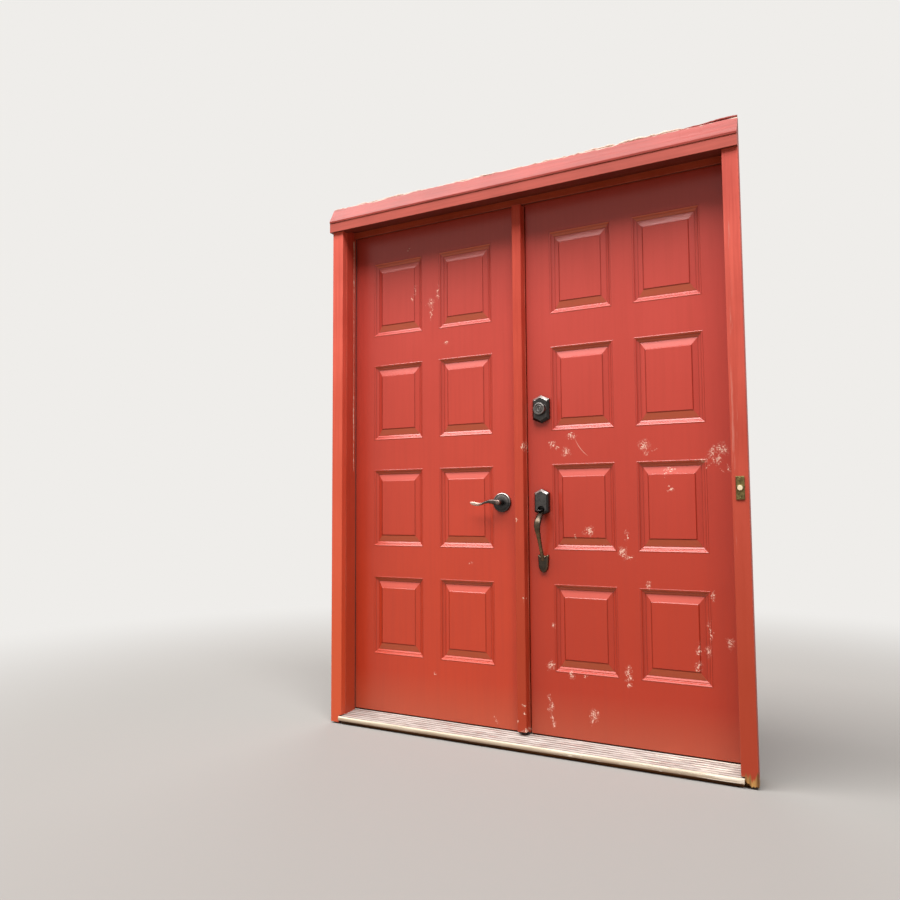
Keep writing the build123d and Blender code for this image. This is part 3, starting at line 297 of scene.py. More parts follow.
def rolled_enamel_on_steel(name, flakes, low, arc=None):
    """Red alkyd enamel, rolled on pressed and primed steel.

    A glossy film with an orange-peel surface, chipped to pale primer and dusty at the foot. Its colour runs
    from a deeper red below to a paler pink above: painted light, cool sky light above and warm ground
    bounce below, with a little chalking. Under the head it is darkened by painted shade. Round each panel
    the press left fine steps, drawn with dark lines of painted shade. The slopes that face up carry a pale
    painted sky sheen, those that face down a warm painted glow of light bounced from the ground."""
    material, tree, point = start_material(name)
    place = axes(tree, point)
    up = place[2]
    # Painted light: the colour runs from the low tone below to a paler pink above, for cool sky light above
    # and warm ground bounce below, with a little chalking
    tone = tint(tree, low, "#be463d", up, 0.55, 1.75)
    cloud = noise(tree, point, 3.2, 3.0, 0.55)
    cloud = ramp(tree, cloud, 0.35, 0.65, 0.0, 0.16)
    tone = blend(tree, cloud, tone, "#a32c1c")
    streak = noise(tree, point, 1.0, 4.0, stretch=(60.0, 60.0, 3.0))
    tone = tint(tree, tone, "#9c3426", streak, 0.45, 0.8, 0.0, 0.22)
    # Painted shade under the head: darker red towards the top
    tone = tint(tree, tone, "#8c3127", up, 1.60, 2.06, 0.0, 0.42)
    foot = (skin_low.z + 10) * MM
    dusty = ramp(tree, up, foot, foot + 0.16, 0.34, 0.0)
    dusty = maths(tree, "MULTIPLY_ADD", dusty, cloud, dusty)
    tone = blend(tree, dusty, tone, "#b5674c")
    true = add(tree, "ShaderNodeNewGeometry", out=1)
    facing = axes(tree, true)
    # Painted light, full on the outer skins and weaker on the inner ones: a pale sky sheen on slopes that
    # face up and a warm glow of ground bounce on slopes that face down
    painted_light_share = 1.0 if flakes else 0.3
    painted_sky_sheen = ramp(tree, facing[2], 0.12, 0.26, 0.0, 0.34 * painted_light_share)
    steep = ramp(tree, facing[2], 0.35, 0.48, 1.0, 0.1)
    painted_sky_sheen = maths(tree, "MULTIPLY", painted_sky_sheen, steep)
    tone = blend(tree, painted_sky_sheen, tone, "#d6776e")
    # Painted warm ground bounce: slopes that face down turn a lighter warm orange
    tone = tint(tree, tone, "#d87750", facing[2], -0.12, -0.26, 0.0, 0.5 * painted_light_share)
    # The steps are about 1.5 mm wide; they are drawn at 4 mm so that they show
    field = past_panel_edge(tree, place, PANEL_FIELD)
    moulding = past_panel_edge(tree, place, PANEL_MOULDING)
    lines = [(field, 1.2, 0.3), (moulding, -8.5, 0.42), (moulding, 1.0, 0.3), (moulding, 9.6, 0.3)]
    # Painted shade: dark lines along the panels' steps, fainter on faces that tilt up
    painted_crease_shade = largest_of(tree, [band(tree, edge, middle, 2.4, strength) for edge, middle, strength in lines])
    flat = ramp(tree, facing[2], 0.2, 0.3, 1.0, 0.45)
    painted_crease_shade = maths(tree, "MULTIPLY", painted_crease_shade, flat)
    tone = blend(tree, painted_crease_shade, tone, "#7c2313")
    lip = ramp(tree, field, -2.0 * MM, 2.0 * MM, 1.0, 0.0)
    quirk = band(tree, moulding, 1.0, 3.2, -0.45)
    steps = maths(tree, "ADD", lip, quirk)
    pressed = bump(tree, steps, 1.0, 0.0034)
    # Orange peel is about 2 mm across; it is drawn at 3 mm so that it shows
    peel = noise(tree, point, 330.0, 2.0)
    height = maths(tree, "MULTIPLY", peel, 0.16)
    gloss = 0.33
    if flakes:
        bare, grit = chipped(tree, point, flakes)
        if arc:
            bare = largest_of(tree, [bare, arc_scratch(tree, point, arc)])
        primer = tint(tree, "#b9877b", "#f2c4b2", grit, 0.35, 0.6)
        tone = blend(tree, bare, tone, primer)
        height = maths(tree, "MULTIPLY_ADD", bare, -1.0, height)
        gloss = ramp(tree, bare, 0.0, 1.0, gloss, 0.75)
    return finished(material, tone, gloss, height, 0.25, 0.0004, under=pressed)


def brushed_paint_on_pine(name, along, light, dark, low=None, wear=0.0, flakes=None, rot=False,
                          hidden=None):
    """Red exterior paint, brushed on planed softwood whose grain lifts under the film.

    Streaks run along the board, edges are rubbed paler, and worn places show pinkish primer. Low down
    the paint is darker and browner, painted shade and warm ground bounce, and faces that look down are
    darkened as painted shade. A rotten foot is bare golden wood. The face that the wall hid, beyond a
    limit along one axis, is bare pine."""
    material, tree, point = start_material(name)
    place = axes(tree, point)
    up = place[2]
    stretch = {"X": (3.5, 95.0, 95.0), "Z": (95.0, 95.0, 3.5)}[along]
    grain = noise(tree, point, 1.0, 5.0, 0.6, stretch=stretch)
    cloud = noise(tree, point, 4.0, 3.0)
    both = maths(tree, "ADD", grain, cloud)
    tone = tint(tree, dark, light, both, 0.75, 1.25)
    # Painted light: darker and browner low down, where less sky light and more warm ground bounce reach
    if low:
        tone = tint(tree, tone, low, up, 1.75, 0.35, 0.0, 0.95)
    soft = add(tree, "ShaderNodeBevel", {"Radius": 0.003}, samples=4)
    true = add(tree, "ShaderNodeNewGeometry", out=1)
    facing = axes(tree, true)
    # Painted shade: faces that look down are darkened
    tone = tint(tree, tone, "#3d1511", facing[2], -0.6, -0.9, 0.0, 0.75)
    match = vectors(tree, "DOT_PRODUCT", soft, true, out=1)
    rubbed = ramp(tree, match, 0.80, 0.98, 0.55, 0.0)
    breaks = ramp(tree, cloud, 0.40, 0.62)
    rubbed = maths(tree, "MULTIPLY", rubbed, breaks)
    tone = blend(tree, rubbed, tone, "#d98c7c")
    if wear:
        rub = noise(tree, point, 0.35, 6.0, 0.7, stretch=stretch)
        bare = ramp(tree, rub, 0.72 - wear, 0.76 - wear, interpolation_type="SMOOTHSTEP")
        bare = maths(tree, "MULTIPLY", bare, 0.55)
        tone = blend(tree, bare, tone, "#c77d70")
    if flakes:
        bare = chipped(tree, point, flakes)[0]
        tone = blend(tree, bare, tone, "#e9c8b4")
    peel = add(tree, "ShaderNodeAttribute", out=2, attribute_name="wear")
    peel = maths(tree, "MULTIPLY_ADD", grain, 0.9, peel)
    tone = tint(tree, tone, "#cdb3a2", peel, 0.98, 1.08)
    if rot:
        ragged = maths(tree, "MULTIPLY_ADD", grain, 0.11, up)
        wood = ramp(tree, ragged, 0.098, 0.088)
        golden = tint(tree, "#6b4420", "#c39355", grain, 0.38, 0.62)
        tone = blend(tree, wood, tone, golden)
    if hidden:
        axis, limit = hidden
        far = place[axis]
        if axis == 0:
            far = maths(tree, "ABSOLUTE", far)
        covered = maths(tree, "GREATER_THAN", far, (limit - 0.5) * MM)
        pine = tint(tree, "#98714a", "#c7a478", grain, 0.36, 0.64)
        tone = blend(tree, covered, tone, pine)
    return finished(material, tone, 0.48, grain, 0.35, 0.0006, specular=0.35)


def sawn_pine_with_lapped_paint(name):
    """Bare sawn softwood of the leaf's inner frame, with red paint lapped over it near the outer face."""
    material, tree, point = start_material(name)
    place = axes(tree, point)
    grain = noise(tree, point, 1.0, 6.0, 0.65, stretch=(120.0, 120.0, 5.0))
    tone = tint(tree, "#a5794a", "#cfa873", grain, 0.36, 0.64)
    edge = noise(tree, point, 30.0, 4.0)
    ragged = maths(tree, "MULTIPLY_ADD", edge, -0.022, place[1])
    tone = tint(tree, tone, "#a83525", ragged, 0.010, 0.009)
    return finished(material, tone, 0.7, grain, 0.5, 0.0008)


def worn_painted_aluminium(name):
    """Extruded sill, once painted and now worn to a chalky grey cream, with grime between its ribs.

    Its nose is cream above and brown below, painted shade where it rounds under."""
    material, tree, point = start_material(name)
    streak = noise(tree, point, 1.0, 6.0, 0.65, stretch=(7.0, 160.0, 160.0))
    share = ramp(tree, streak, 0.35, 0.65)
    tone = blend(tree, share, "#a0958e", "#c8beb7")
    # Height over the sloped deck tells the ribs from the dirty grooves between them
    place = axes(tree, point)
    lift = maths(tree, "MULTIPLY_ADD", place[1], -DECK_SLOPE, place[2])
    deck = DECK_HEIGHT * MM
    groove = ramp(tree, lift, deck + 0.0006, deck + 0.0013, 0.82, 0.0)
    on_deck = maths(tree, "GREATER_THAN", place[1], (tread_front + 6) * MM)
    groove = maths(tree, "MULTIPLY", groove, on_deck)
    smear = noise(tree, point, 1.6, 5.0, stretch=(9.0, 40.0, 40.0))
    tone = tint(tree, tone, "#b8766c", smear, 0.53, 0.66, 0.0, 0.34)
    front = ramp(tree, place[1], (tread_front + 4) * MM, (tread_front + 8) * MM, 0.9, 0.0)
    cream = blend(tree, share, "#b8a88f", "#dccfb8")
    # Painted shade: the nose turns brown where it rounds under
    cream = tint(tree, cream, "#6e4a31", place[2], (NOSE_LOW + 2) * MM, (NOSE_LOW + 8) * MM, 0.75, 0.0)
    tone = blend(tree, front, tone, cream)
    # Paint still clings as pale flakes with dark rims, most of all towards the right end
    flake = noise(tree, point, 1.7, 4.0, 0.6, 0.6, stretch=(4.0, 85.0, 85.0))
    right = ramp(tree, place[0], 0.25, 0.72, -0.02, 0.14)
    flake = maths(tree, "ADD", flake, right)
    left = ramp(tree, flake, 0.62, 0.65, 0.0, 0.75)
    tone = blend(tree, left, tone, "#e8dccc")
    rim = band(tree, flake, 0.615 / MM, 0.014 / MM, 0.5)
    tone = blend(tree, rim, tone, "#6d5648")
    trodden = ramp(tree, smear, 0.36, 0.56, 0.35, 1.0)
    groove = maths(tree, "MULTIPLY", groove, trodden)
    tone = blend(tree, groove, tone, "#64574f")
    height = maths(tree, "MULTIPLY_ADD", left, 1.2, streak)
    return finished(material, tone, 0.6, height, 0.5, 0.0006, metallic=0.1)


def weathered_timber(name, light, dark):
    """Bare or stained softwood that rain has darkened, split along its grain."""
    material, tree, point = start_material(name)
    grain = noise(tree, point, 1.0, 7.0, 0.7, stretch=(6.0, 170.0, 170.0))
    tone = tint(tree, dark, light, grain, 0.38, 0.66)
    return finished(material, tone, 0.8, grain, 0.7, 0.001)


def oil_rubbed_bronze(name, worn):
    """Cast zinc with an oil-rubbed bronze finish: smooth and dark, worn to barer metal of a given colour.

    The wear sits on the edges, where the normal rounded over 1.6 mm leaves the true one, and where the
    piece's own attribute called wear says so. That attribute holds hand wear and also painted highlights
    and reflections, drawn in the worn colour."""
    material, tree, point = start_material(name)
    soft = add(tree, "ShaderNodeBevel", {"Radius": 0.0016}, samples=6)
    true = add(tree, "ShaderNodeNewGeometry", out=1)
    match = vectors(tree, "DOT_PRODUCT", soft, true, out=1)
    edge = ramp(tree, match, 0.80, 0.995, 0.8, 0.0)
    patch = noise(tree, point, 70.0, 5.0, 0.65)
    rubbed = ramp(tree, patch, 0.42, 0.72, 0.1, 0.8)
    wear = maths(tree, "MULTIPLY", edge, rubbed)
    # The wear attribute: hand wear and painted highlights and reflections
    hand_wear_and_painted_highlights = add(tree, "ShaderNodeAttribute", out=2, attribute_name="wear")
    blotch = ramp(tree, patch, 0.3, 0.6, 0.6, 1.1)
    hand_wear_and_painted_highlights = maths(tree, "MULTIPLY", hand_wear_and_painted_highlights, blotch)
    wear = largest_of(tree, [wear, hand_wear_and_painted_highlights])
    base = blend(tree, patch, "#1f1d1d", "#33302f")
    tone = blend(tree, wear, base, worn)
    gloss = ramp(tree, patch, 0.3, 0.7, 0.20, 0.36)
    return finished(material, tone, gloss, patch, 0.08, 0.0003, under=soft, metallic=0.85)


def plain_metal(name, light, dark, roughness, scale):
    """A rolled or turned metal part with a faintly mottled plating or tarnish."""
    material, tree, point = start_material(name)
    patch = noise(tree, point, scale, 5.0, 0.6)
    tone = tint(tree, dark, light, patch, 0.35, 0.65)
    gloss = ramp(tree, patch, 0.3, 0.7, roughness - 0.08, roughness + 0.1)
    return finished(material, tone, gloss, patch, 0.1, 0.0003, metallic=0.9)


def moulded_plastic(name, light, dark, roughness, scale):
    """Extruded or moulded plastic, dulled and specked by dust."""
    material, tree, point = start_material(name)
    patch = noise(tree, point, scale, 4.0, 0.6)
    tone = tint(tree, dark, light, patch, 0.35, 0.7)
    return finished(material, tone, roughness, patch, 0.2, 0.0004)


# Mesh helpers


def make_piece(name, form, body, material, smooth=True, wear=None):
    """A mesh piece that rides on a body, from a form: its points in millimetres and its faces.

    Wear is a share for each point."""
    points, faces = form
    faces = [list(map(int, face)) for face in faces]
    mesh = bpy.data.meshes.new(name)
    mesh.from_pydata((np.asarray(points, float) * MM).tolist(), [], faces)
    mesh.update()
    mesh.polygons.foreach_set("use_smooth", np.full(len(mesh.polygons), smooth))
    mesh.materials.append(material)
    if wear is not None:
        shares = mesh.attributes.new("wear", "FLOAT", "POINT")
        shares.data.foreach_set("value", np.asarray(wear, float).ravel())
    piece = bpy.data.objects.new(name, mesh)
    bpy.context.scene.collection.objects.link(piece)
    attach(piece, body)
    return piece


def places_at(x, y, z):
    """Points from their X, Y and Z, each one an array or a number for all."""
    return np.stack(np.broadcast_arrays(x, y, z), axis=-1)


def angles(sides):
    """Evenly spaced angles round a circle."""
    return np.linspace(0, 2 * np.pi, sides, endpoint=False)


def capped_tube(rings):
    """The form of a tube through rings of shape (rows, sides, 3): quads from each ring to the next,
    and a fan that closes each end."""
    rows, sides = rings.shape[:2]
    middles = rings[[0, -1]].mean(1)
    points = np.concatenate([rings.reshape(-1, 3), middles])
    start, side = np.meshgrid(np.arange(rows - 1) * sides, np.arange(sides), indexing="ij")
    after = (side + 1) % sides
    quads = np.stack([start + side, start + after, start + sides + after, start + sides + side], axis=-1)
    side, after = side[0], after[0]
    first = places_at(rows * sides, after, side)
    last = places_at(rows * sides + 1, (rows - 1) * sides + side, (rows - 1) * sides + after)
    return points, list(quads.reshape(-1, 4)) + list(first) + list(last)


def joined(first, second):
    """Two forms as one."""
    points = np.concatenate([first[0], second[0]])
    return points, list(first[1]) + [np.add(face, len(first[0])) for face in second[1]]


def copies(points, faces):
    """The form of several copies of one shape, from each copy's points and the shape's faces."""
    count, size = points.shape[:2]
    return points.reshape(-1, 3), [np.add(face, size * index) for index in range(count) for face in faces]


def through(stations, count):
    """A smooth curve through the stations' rows: between two rows, the cubic whose slopes at both
    ends are half the step from the row before to the row after."""
    stations = np.asarray(stations, float)
    before = 2 * stations[:1] - stations[1:2]
    padded = np.concatenate([before, stations, 2 * stations[-1:] - stations[-2:-1]])
    t = np.linspace(0, len(stations) - 1, count)
    i = np.minimum(t.astype(int), len(stations) - 2)
    u = (t - i)[:, None]
    a, b, c, d = (padded[i + k] for k in range(4))
    return 0.5 * (2 * b + (c - a) * u + (2 * a - 5 * b + 4 * c - d) * u ** 2
                  + (3 * b - a - 3 * c + d) * u ** 3)


def oval_rings(path, half_a, half_b, side, power, sides):
    """Rings of superellipses square to a path: a point lies at half_a |cos| ** (2 / power) along the
    side direction and half_b |sin| ** (2 / power) along the cross of tangent and side."""
    tangent = np.gradient(path, axis=0)
    tangent /= np.linalg.norm(tangent, axis=1, keepdims=True)
    side = np.broadcast_to(side, path.shape)
    side = side - (side * tangent).sum(1, keepdims=True) * tangent
    side /= np.linalg.norm(side, axis=1, keepdims=True)
    other = np.cross(tangent, side)
    cos, sin = np.cos(angles(sides)), np.sin(angles(sides))
    cos = np.sign(cos) * np.abs(cos) ** (2 / power)
    sin = np.sign(sin) * np.abs(sin) ** (2 / power)
    return (path[:, None] + (half_a[:, None] * cos)[..., None] * side[:, None]
            + (half_b[:, None] * sin)[..., None] * other[:, None])


def rod(path, half_y, half_up, power, sides):
    """A closed tube of superellipses along a path, from half sizes along Y and across."""
    half_y, half_up = (np.broadcast_to(half, len(path)) for half in (half_y, half_up))
    return capped_tube(oval_rings(path, half_y, half_up, np.array([0, 1.0, 0]), power, sides))


def turned(profile, place, facing, sides):
    """A form turned round an axis along Y from (radius, height) pairs, from a place towards facing."""
    profile = np.asarray(profile, float)
    angle = angles(sides)
    radius = profile[:, :1]
    rings = places_at(radius * np.cos(angle), profile[:, 1:] * facing, radius * np.sin(angle) * -facing)
    return capped_tube(rings + np.asarray(place, float))


def rough_line(random, count, periods, sizes):
    """A random line: the sum, over periods, of random values that many samples apart times a size."""
    line = np.zeros(count)
    for period, size in zip(periods, sizes):
        knots = random.uniform(-1, 1, int(count / period) + 2)
        line += size * np.interp(np.arange(count) / period, np.arange(len(knots)), knots)
    return line


def rounded_end(half, share):
    """Half sizes that shrink over the last share of a path like a quarter circle."""
    t = np.linspace(0, 1, len(half))
    past = np.clip((t - (1 - share)) / share, 0, 1)
    return half * np.sqrt(1 - 0.97 * past ** 2)


def raised(steps, z):
    """A form on the right leaf and its wear, raised ring by ring at a height.

    Each step is an (x, z) outline round the locks' line, its distance out from the leaf's face and its
    share of wear."""
    rings = [places_at(lock_x + outline[:, 0], -out, z + outline[:, 1]) for outline, out, wear in steps]
    wear = np.repeat([wear for outline, out, wear in steps], len(steps[0][0]))
    return capped_tube(np.stack(rings)), np.append(wear, [0, 0])


def gabled(width, height, gable):
    """A hexagon with a point above and below: its six corners joined by evenly spaced points."""
    half = width / 2
    high = height / 2
    side = high - gable
    corners = [(half, -side), (half, side), (0, high), (-half, side), (-half, -side), (0, -high)]
    corners = np.array(corners)
    ahead = np.roll(corners, -1, axis=0)
    per_edge = 12
    share = np.linspace(0, 1, per_edge, endpoint=False)[None, :, None]
    return (corners[:, None] + (ahead - corners)[:, None] * share).reshape(-1, 2)


def circle_like(outline, radius, z=0.0):
    """A circle whose points lie in the same directions from its centre as the outline's points."""
    angle = np.arctan2(outline[:, 1] - z, outline[:, 0])
    return np.column_stack([radius * np.cos(angle), z + radius * np.sin(angle)])


def gabled_piece(name, steps, z, shoulder, bronze):
    """A gabled fitting on the right leaf, with a painted highlight, drawn as wear, on its bevel above a
    height where it faces up.
    """
    form, wear = raised(steps, z)
    outer = steps[0][0]
    rows = wear[:-2].reshape(-1, len(outer))
    # Painted highlight: wear on the bevel's rings, growing above the shoulder where the bevel faces up
    rows[2:4] = 0.02 + 0.9 * np.clip(outer[:, 1] - shoulder, 0, 6) / 6
    return make_piece(name, form, "right_leaf", bronze, smooth=False, wear=wear)


def add_deadbolt_rose(bronze, plug_metal):
    """The gabled rose with its bevelled edge, and the tapered collar that guards the key plug.

    Both are one run of rings: gabled outlines up to the face, then circles along the collar. The plug's
    rings go from circles to the keyway, a narrow superellipse, and back into it."""
    outer = gabled(67, 106, 15)
    steps = [(outer, 0, 0.0), (outer, 10, 0.0), (gabled(66, 105, 15), 11, 0.5),
             (gabled(51, 89, 13), 19, 0.75), (gabled(50, 88, 13), 19.3, 0.10)]
    collar = [(24.5, 19.3, 0.05), (24, 20.5, 0.1), (22.6, 30, 0.12), (22, 32.3, 0.4), (20.6, 33.2, 0.4),
              (15.8, 33.2, 0.2), (15, 32.0, 0.1), (14.0, 32.0, 0.1), (13.2, 33.2, 0.3), (8.6, 33.2, 0.15),
              (7.2, 32.2, 0.1), (7.2, 24, 0.0)]
    steps += [(circle_like(outer, radius), out, wear) for radius, out, wear in collar]
    rose = gabled_piece("deadbolt_rose_and_collar", steps, deadbolt_z, 34, bronze)
    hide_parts("deadbolt_rose")
    circle = np.column_stack([np.cos(angles(48)), np.sin(angles(48))])
    slot = np.sign(circle) * np.abs(circle) ** 0.4 * (0.85, 4.4)
    steps = [(circle * 6.95, 10.0, 0.0), (circle * 6.95, 32.2, 0.0), (circle * 6.4, 32.8, 0.0),
             (slot, 32.8, 0.0), (slot, 25.0, 0.0)]
    form = raised(steps, deadbolt_z)[0]
    plug = make_piece("key_plug_with_keyway", form, "key_plug", plug_metal, smooth=False)
    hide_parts("key_plug")


def add_escutcheon(bronze):
    """The latch escutcheon: a deep gabled block, bevelled in front, with a round hollow for the thumb piece.

    Its rings go from the gabled outline to a circle, and back into the hollow."""
    outer = gabled(56, 99, 14)
    steps = [(outer, 0, 0.0), (outer, 16, 0.0), (gabled(55, 98, 14), 17.2, 0.5),
             (gabled(43, 86, 13), 24, 0.8), (gabled(42, 85, 13), 24.3, 0.12)]
    hollow = [(14.2, 24.3, 0.12), (13.2, 23.2, 0.5), (12.9, 12, 0.0)]
    hollow_z = -27.5
    steps += [(circle_like(outer, radius, hollow_z), out, wear) for radius, out, wear in hollow]
    plate = gabled_piece("handle_escutcheon_with_hollow", steps, latch_z, 31, bronze)
    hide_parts("handle_escutcheon")


def add_grip(bronze):
    """The cast grip: superellipse sections along a smooth curve that bows out and runs down to its foot.

    The foot plate is one outline with two horns, drawn in and raised ring by ring to a low dome."""
    rows = through([
        (-15, 862, 9.0, 7.5), (-28, 855, 10.5, 8.5), (-46, 839, 12.5, 8.5), (-58, 823, 13.0, 8.0),
        (-62, 806, 11.8, 7.2), (-57, 789, 9.6, 6.6), (-46, 766, 7.6, 6.2), (-33, 736, 6.6, 5.8),
        (-21, 708, 6.8, 5.6), (-13, 690, 7.6, 5.6), (-9, 678, 6.5, 4.0),
    ], 110)
    path = places_at(lock_x, rows[:, 0], rows[:, 1])
    sides = 32
    rings = oval_rings(path, rounded_end(rows[:, 2], 0.05), rows[:, 3], np.array([1.0, 0, 0]), 2.3, sides)
    # Wear along the bow, most on its lower run: hand wear and a painted reflection of the warm floor, shown
    # in the grip finish's golden worn colour
    high = np.interp(rows[:, 1], [690, 720, 780, 800, 830, 862], [0.3, 0.5, 0.45, 0.2, 0.12, 0.1])
    bow_wear_and_reflection = high[:, None] * (0.35 + 0.65 * np.clip(np.abs(np.sin(angles(sides))) - 0.1, 0, 1))
    half = [(19.0, -2), (20, 12), (20.5, 24), (21.0, 31), (17, 32.5), (12, 29.0), (0, 30.5)]
    mirrored = [(-x, z) for x, z in reversed(half[:-1])]
    tail = [(-17.5, -15), (-11.5, -27), (0, -34), (11.5, -27), (17.5, -15)]
    corners = np.array(half + mirrored + tail, float)
    closed = through(np.concatenate([corners, corners[:1]]), 121)[:-1]
    dome = [(1.0, 0.0, 0.0), (1.0, 7.0, 0.05), (0.97, 9.2, 0.25), (0.88, 11.2, 0.18), (0.68, 13.0, 0.08),
            (0.35, 14.2, 0.08), (0.08, 14.5, 0.08)]
    foot_z = 671
    foot, foot_wear = raised([(closed * scale, out, wear) for scale, out, wear in dome], foot_z)
    form = joined(capped_tube(rings), foot)
    wear = np.concatenate([bow_wear_and_reflection.ravel(), [0, 0], foot_wear])
    grip = make_piece("pull_grip_with_foot", form, "right_leaf", bronze, wear=wear)
    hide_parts("pull_grip")


def face_of(node):
    """Which way a leaf's fitting faces along Y, and where the leaf's face behind it lies."""
    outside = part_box(node)[0].y < 0
    return (-1.0, 0.0) if outside else (1.0, leaf_thickness)


def add_lever(name, node, hub_x, body, bronze):
    """A waved lever: superellipse sections along a smooth curve that leaves a flared neck, dips and lifts
    again to a leaf-like tip."""
    low, high = corners_of(node)
    facing, wall = face_of(node)
    length, stand_off = 121, 38
    reach = length if high.x - hub_x > hub_x - low.x else -length
    rows = through([
        (0.00, 1.0, 9.0, 8.4), (0.10, 2.0, 9.8, 8.2), (0.22, 3.5, 9.0, 7.0), (0.34, 3.5, 6.4, 5.6),
        (0.48, -0.5, 4.3, 4.8), (0.60, -5.0, 4.6, 4.2), (0.74, -6.5, 6.4, 3.6), (0.88, -3.5, 6.9, 3.0),
        (1.00, 0.5, 4.4, 2.4),
    ], 90)
    path = places_at(hub_x + reach * rows[:, 0], wall + stand_off * facing, latch_z + rows[:, 1])
    arm_sides, hub_sides = 30, 40
    arm = rod(path, rows[:, 3], rounded_end(rows[:, 2], 0.07), 2.3, arm_sides)
    # Rubbed bright towards the tip, in the lever finish's pink worn colour: hand wear and a painted
    # highlight
    polish_and_highlight = np.interp(rows[:, 0], [0.0, 0.5, 0.62, 0.75, 1.0], [0.12, 0.1, 0.5, 0.95, 1.0])
    profile = [(11.5, 9.0), (10.8, 30.0), (10.6, 40.0), (9.4, 44.6), (6.4, 46.8), (0.5, 47.4)]
    form = joined(arm, turned(profile, (hub_x, wall, latch_z), facing, hub_sides))
    arm_wear = np.repeat(polish_and_highlight, arm_sides)
    hub_wear = np.repeat([0.0, 0.05, 0.1, 0.25, 0.3, 0.3], hub_sides)
    wear = np.concatenate([arm_wear, [0, 0.8], hub_wear, [0, 0.3]])
    lever = make_piece(name, form, body, bronze, wear=wear)
    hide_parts(node)


def add_rose(name, node, hub_x, body, bronze):
    """A round rose: a turned profile with a rounded rim, a step and a dome, with a painted highlight drawn
    as wear on the rim's top.
    """
    low, high = corners_of(node)
    facing, wall = face_of(node)
    sides = 64
    radius = (high.z - low.z) / 2
    depth = high.y - low.y
    steps = [(0.0, 0.0), (0.0, 0.35), (0.8, 0.6), (2.8, 0.8), (5.0, 0.86), (6.2, 0.72), (7.4, 0.76),
             (11.0, 0.94), (16.0, 1.0), (radius - 9.5, 1.0)]
    profile = [(radius - inward, depth * share) for inward, share in steps]
    form = turned(profile, (hub_x, wall, latch_z), facing, sides)
    # Painted highlight: wear on the rim, strongest on its upper side
    rim = np.array([0.0, 0.4, 0.9, 0.9, 0.6, 0.05, 0.1, 0.45, 0.25, 0.1])
    upper = 0.1 + 0.9 * np.clip(np.sin(angles(sides)) * -facing + 0.1, 0, 1) ** 0.7
    wear = np.append((rim[:, None] * upper).ravel(), [0, 0.05])
    rose = make_piece(name, form, body, bronze, wear=wear)
    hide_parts(node)


def add_drip_cap(paint, chalk, wood):
    """The drip cap, its split and peeling back edge, and what clings there.

    The cap is a wedge profile carried along X, whose slope carries brush relief and whose top edge is
    chipped by a random line. A bead of old caulk and a lifted sliver lie along the top."""
    random = np.random.default_rng(7)
    count = 640
    x = np.linspace(drip_low.x, drip_high.x, count)
    back = drip_high.y
    foot = drip_low.z
    top = drip_high.z
    nose = drip_low.y + 3.2
    nose_height, ledge_depth = 7.0, 8.4
    split_start, bead_end = 640, 655
    chip = np.clip(rough_line(random, count, (5, 19, 70), (1.6, 1.8, 1.4)) - 0.3, 0, None)
    chip[x > split_start] += 1.5
    ring = [places_at(x, back, foot), places_at(x, back, top - chip * 0.6)]
    upper = np.stack([np.full(count, back - ledge_depth), top - chip], axis=-1)
    lower = np.array([nose, foot + nose_height])
    for share in np.linspace(0, 1, 9):
        place = upper + (lower - upper) * share
        relief = rough_line(random, count, (9, 60, 200), (0.22, 0.25, 0.35))
        relief *= np.sin(np.pi * share) ** 0.5
        ring.append(places_at(x, place[:, 0] - relief * 0.9, place[:, 1] + relief * 0.4))
    ring.append(places_at(x, nose + 0.4, foot))
    rings = np.stack(ring, axis=1)
    peel = np.zeros(rings.shape[:2])
    ragged = np.clip(0.35 + rough_line(random, count, (6, 23), (0.25, 0.25)), 0, 0.9)
    peel[:, 1] = 0.7
    peel[:, 2] = 0.45 + ragged * 0.5
    peel[:, 3] = ragged * 0.25
    cap = make_piece("drip_cap_with_peeled_edge", capped_tube(rings), "frame", paint,
                     smooth=False, wear=np.append(peel.ravel(), [0, 0]))
    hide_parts("drip_cap")
    count = 420
    x = np.linspace(drip_low.x + 4, bead_end, count)
    thick = np.interp(x, [-834, 200, 330, 500, 640, bead_end], [1.7, 1.9, 2.8, 3.2, 1.6, 0.5])
    thick = np.clip(thick * (1 + rough_line(random, count, (4, 14, 45), (0.6, 0.6, 0.5))), 0.25, None)
    path = places_at(x, back - 5.0, top - 0.8 + thick)
    bead = rod(path, 2.0 + thick * 0.4, thick + 0.8, 2.0, 8)
    make_piece("old_caulk_bead", bead, "frame", chalk)
    count = 120
    sides = 10
    x = np.linspace(split_start, drip_high.x - 1, count)
    lift = np.interp(x, [split_start, 690, 745, 775, 800, 827], [-1.0, -0.8, 0.6, 1.6, 0.4, -0.6])
    lift = lift + rough_line(random, count, (7, 25), (0.4, 0.4))
    deep = np.interp(x, [split_start, 700, 827], [1.0, 2.4, 3.0])
    thick = np.interp(x, [split_start, 680, 827], [0.8, 1.9, 4.4])
    thick = thick + rough_line(random, count, (5, 16), (0.4, 0.5))
    sliver = rod(places_at(x, back - 5.2, top + lift + thick), deep, thick, 3.0, sides)
    wear = np.append(np.repeat(0.3 + 0.35 * random.random(count), sides), [0, 0])
    make_piece("lifted_paint_sliver", sliver, "frame", paint, wear=wear)
    # Under the sliver lies split wood, made very dark as painted shade of the gap
    split = rod(places_at(x, back - 1.6, top), 1.2, lift + 2.0, 3.0, sides)
    make_piece("split_wood_and_painted_shade_under_sliver", split, "frame", wood)


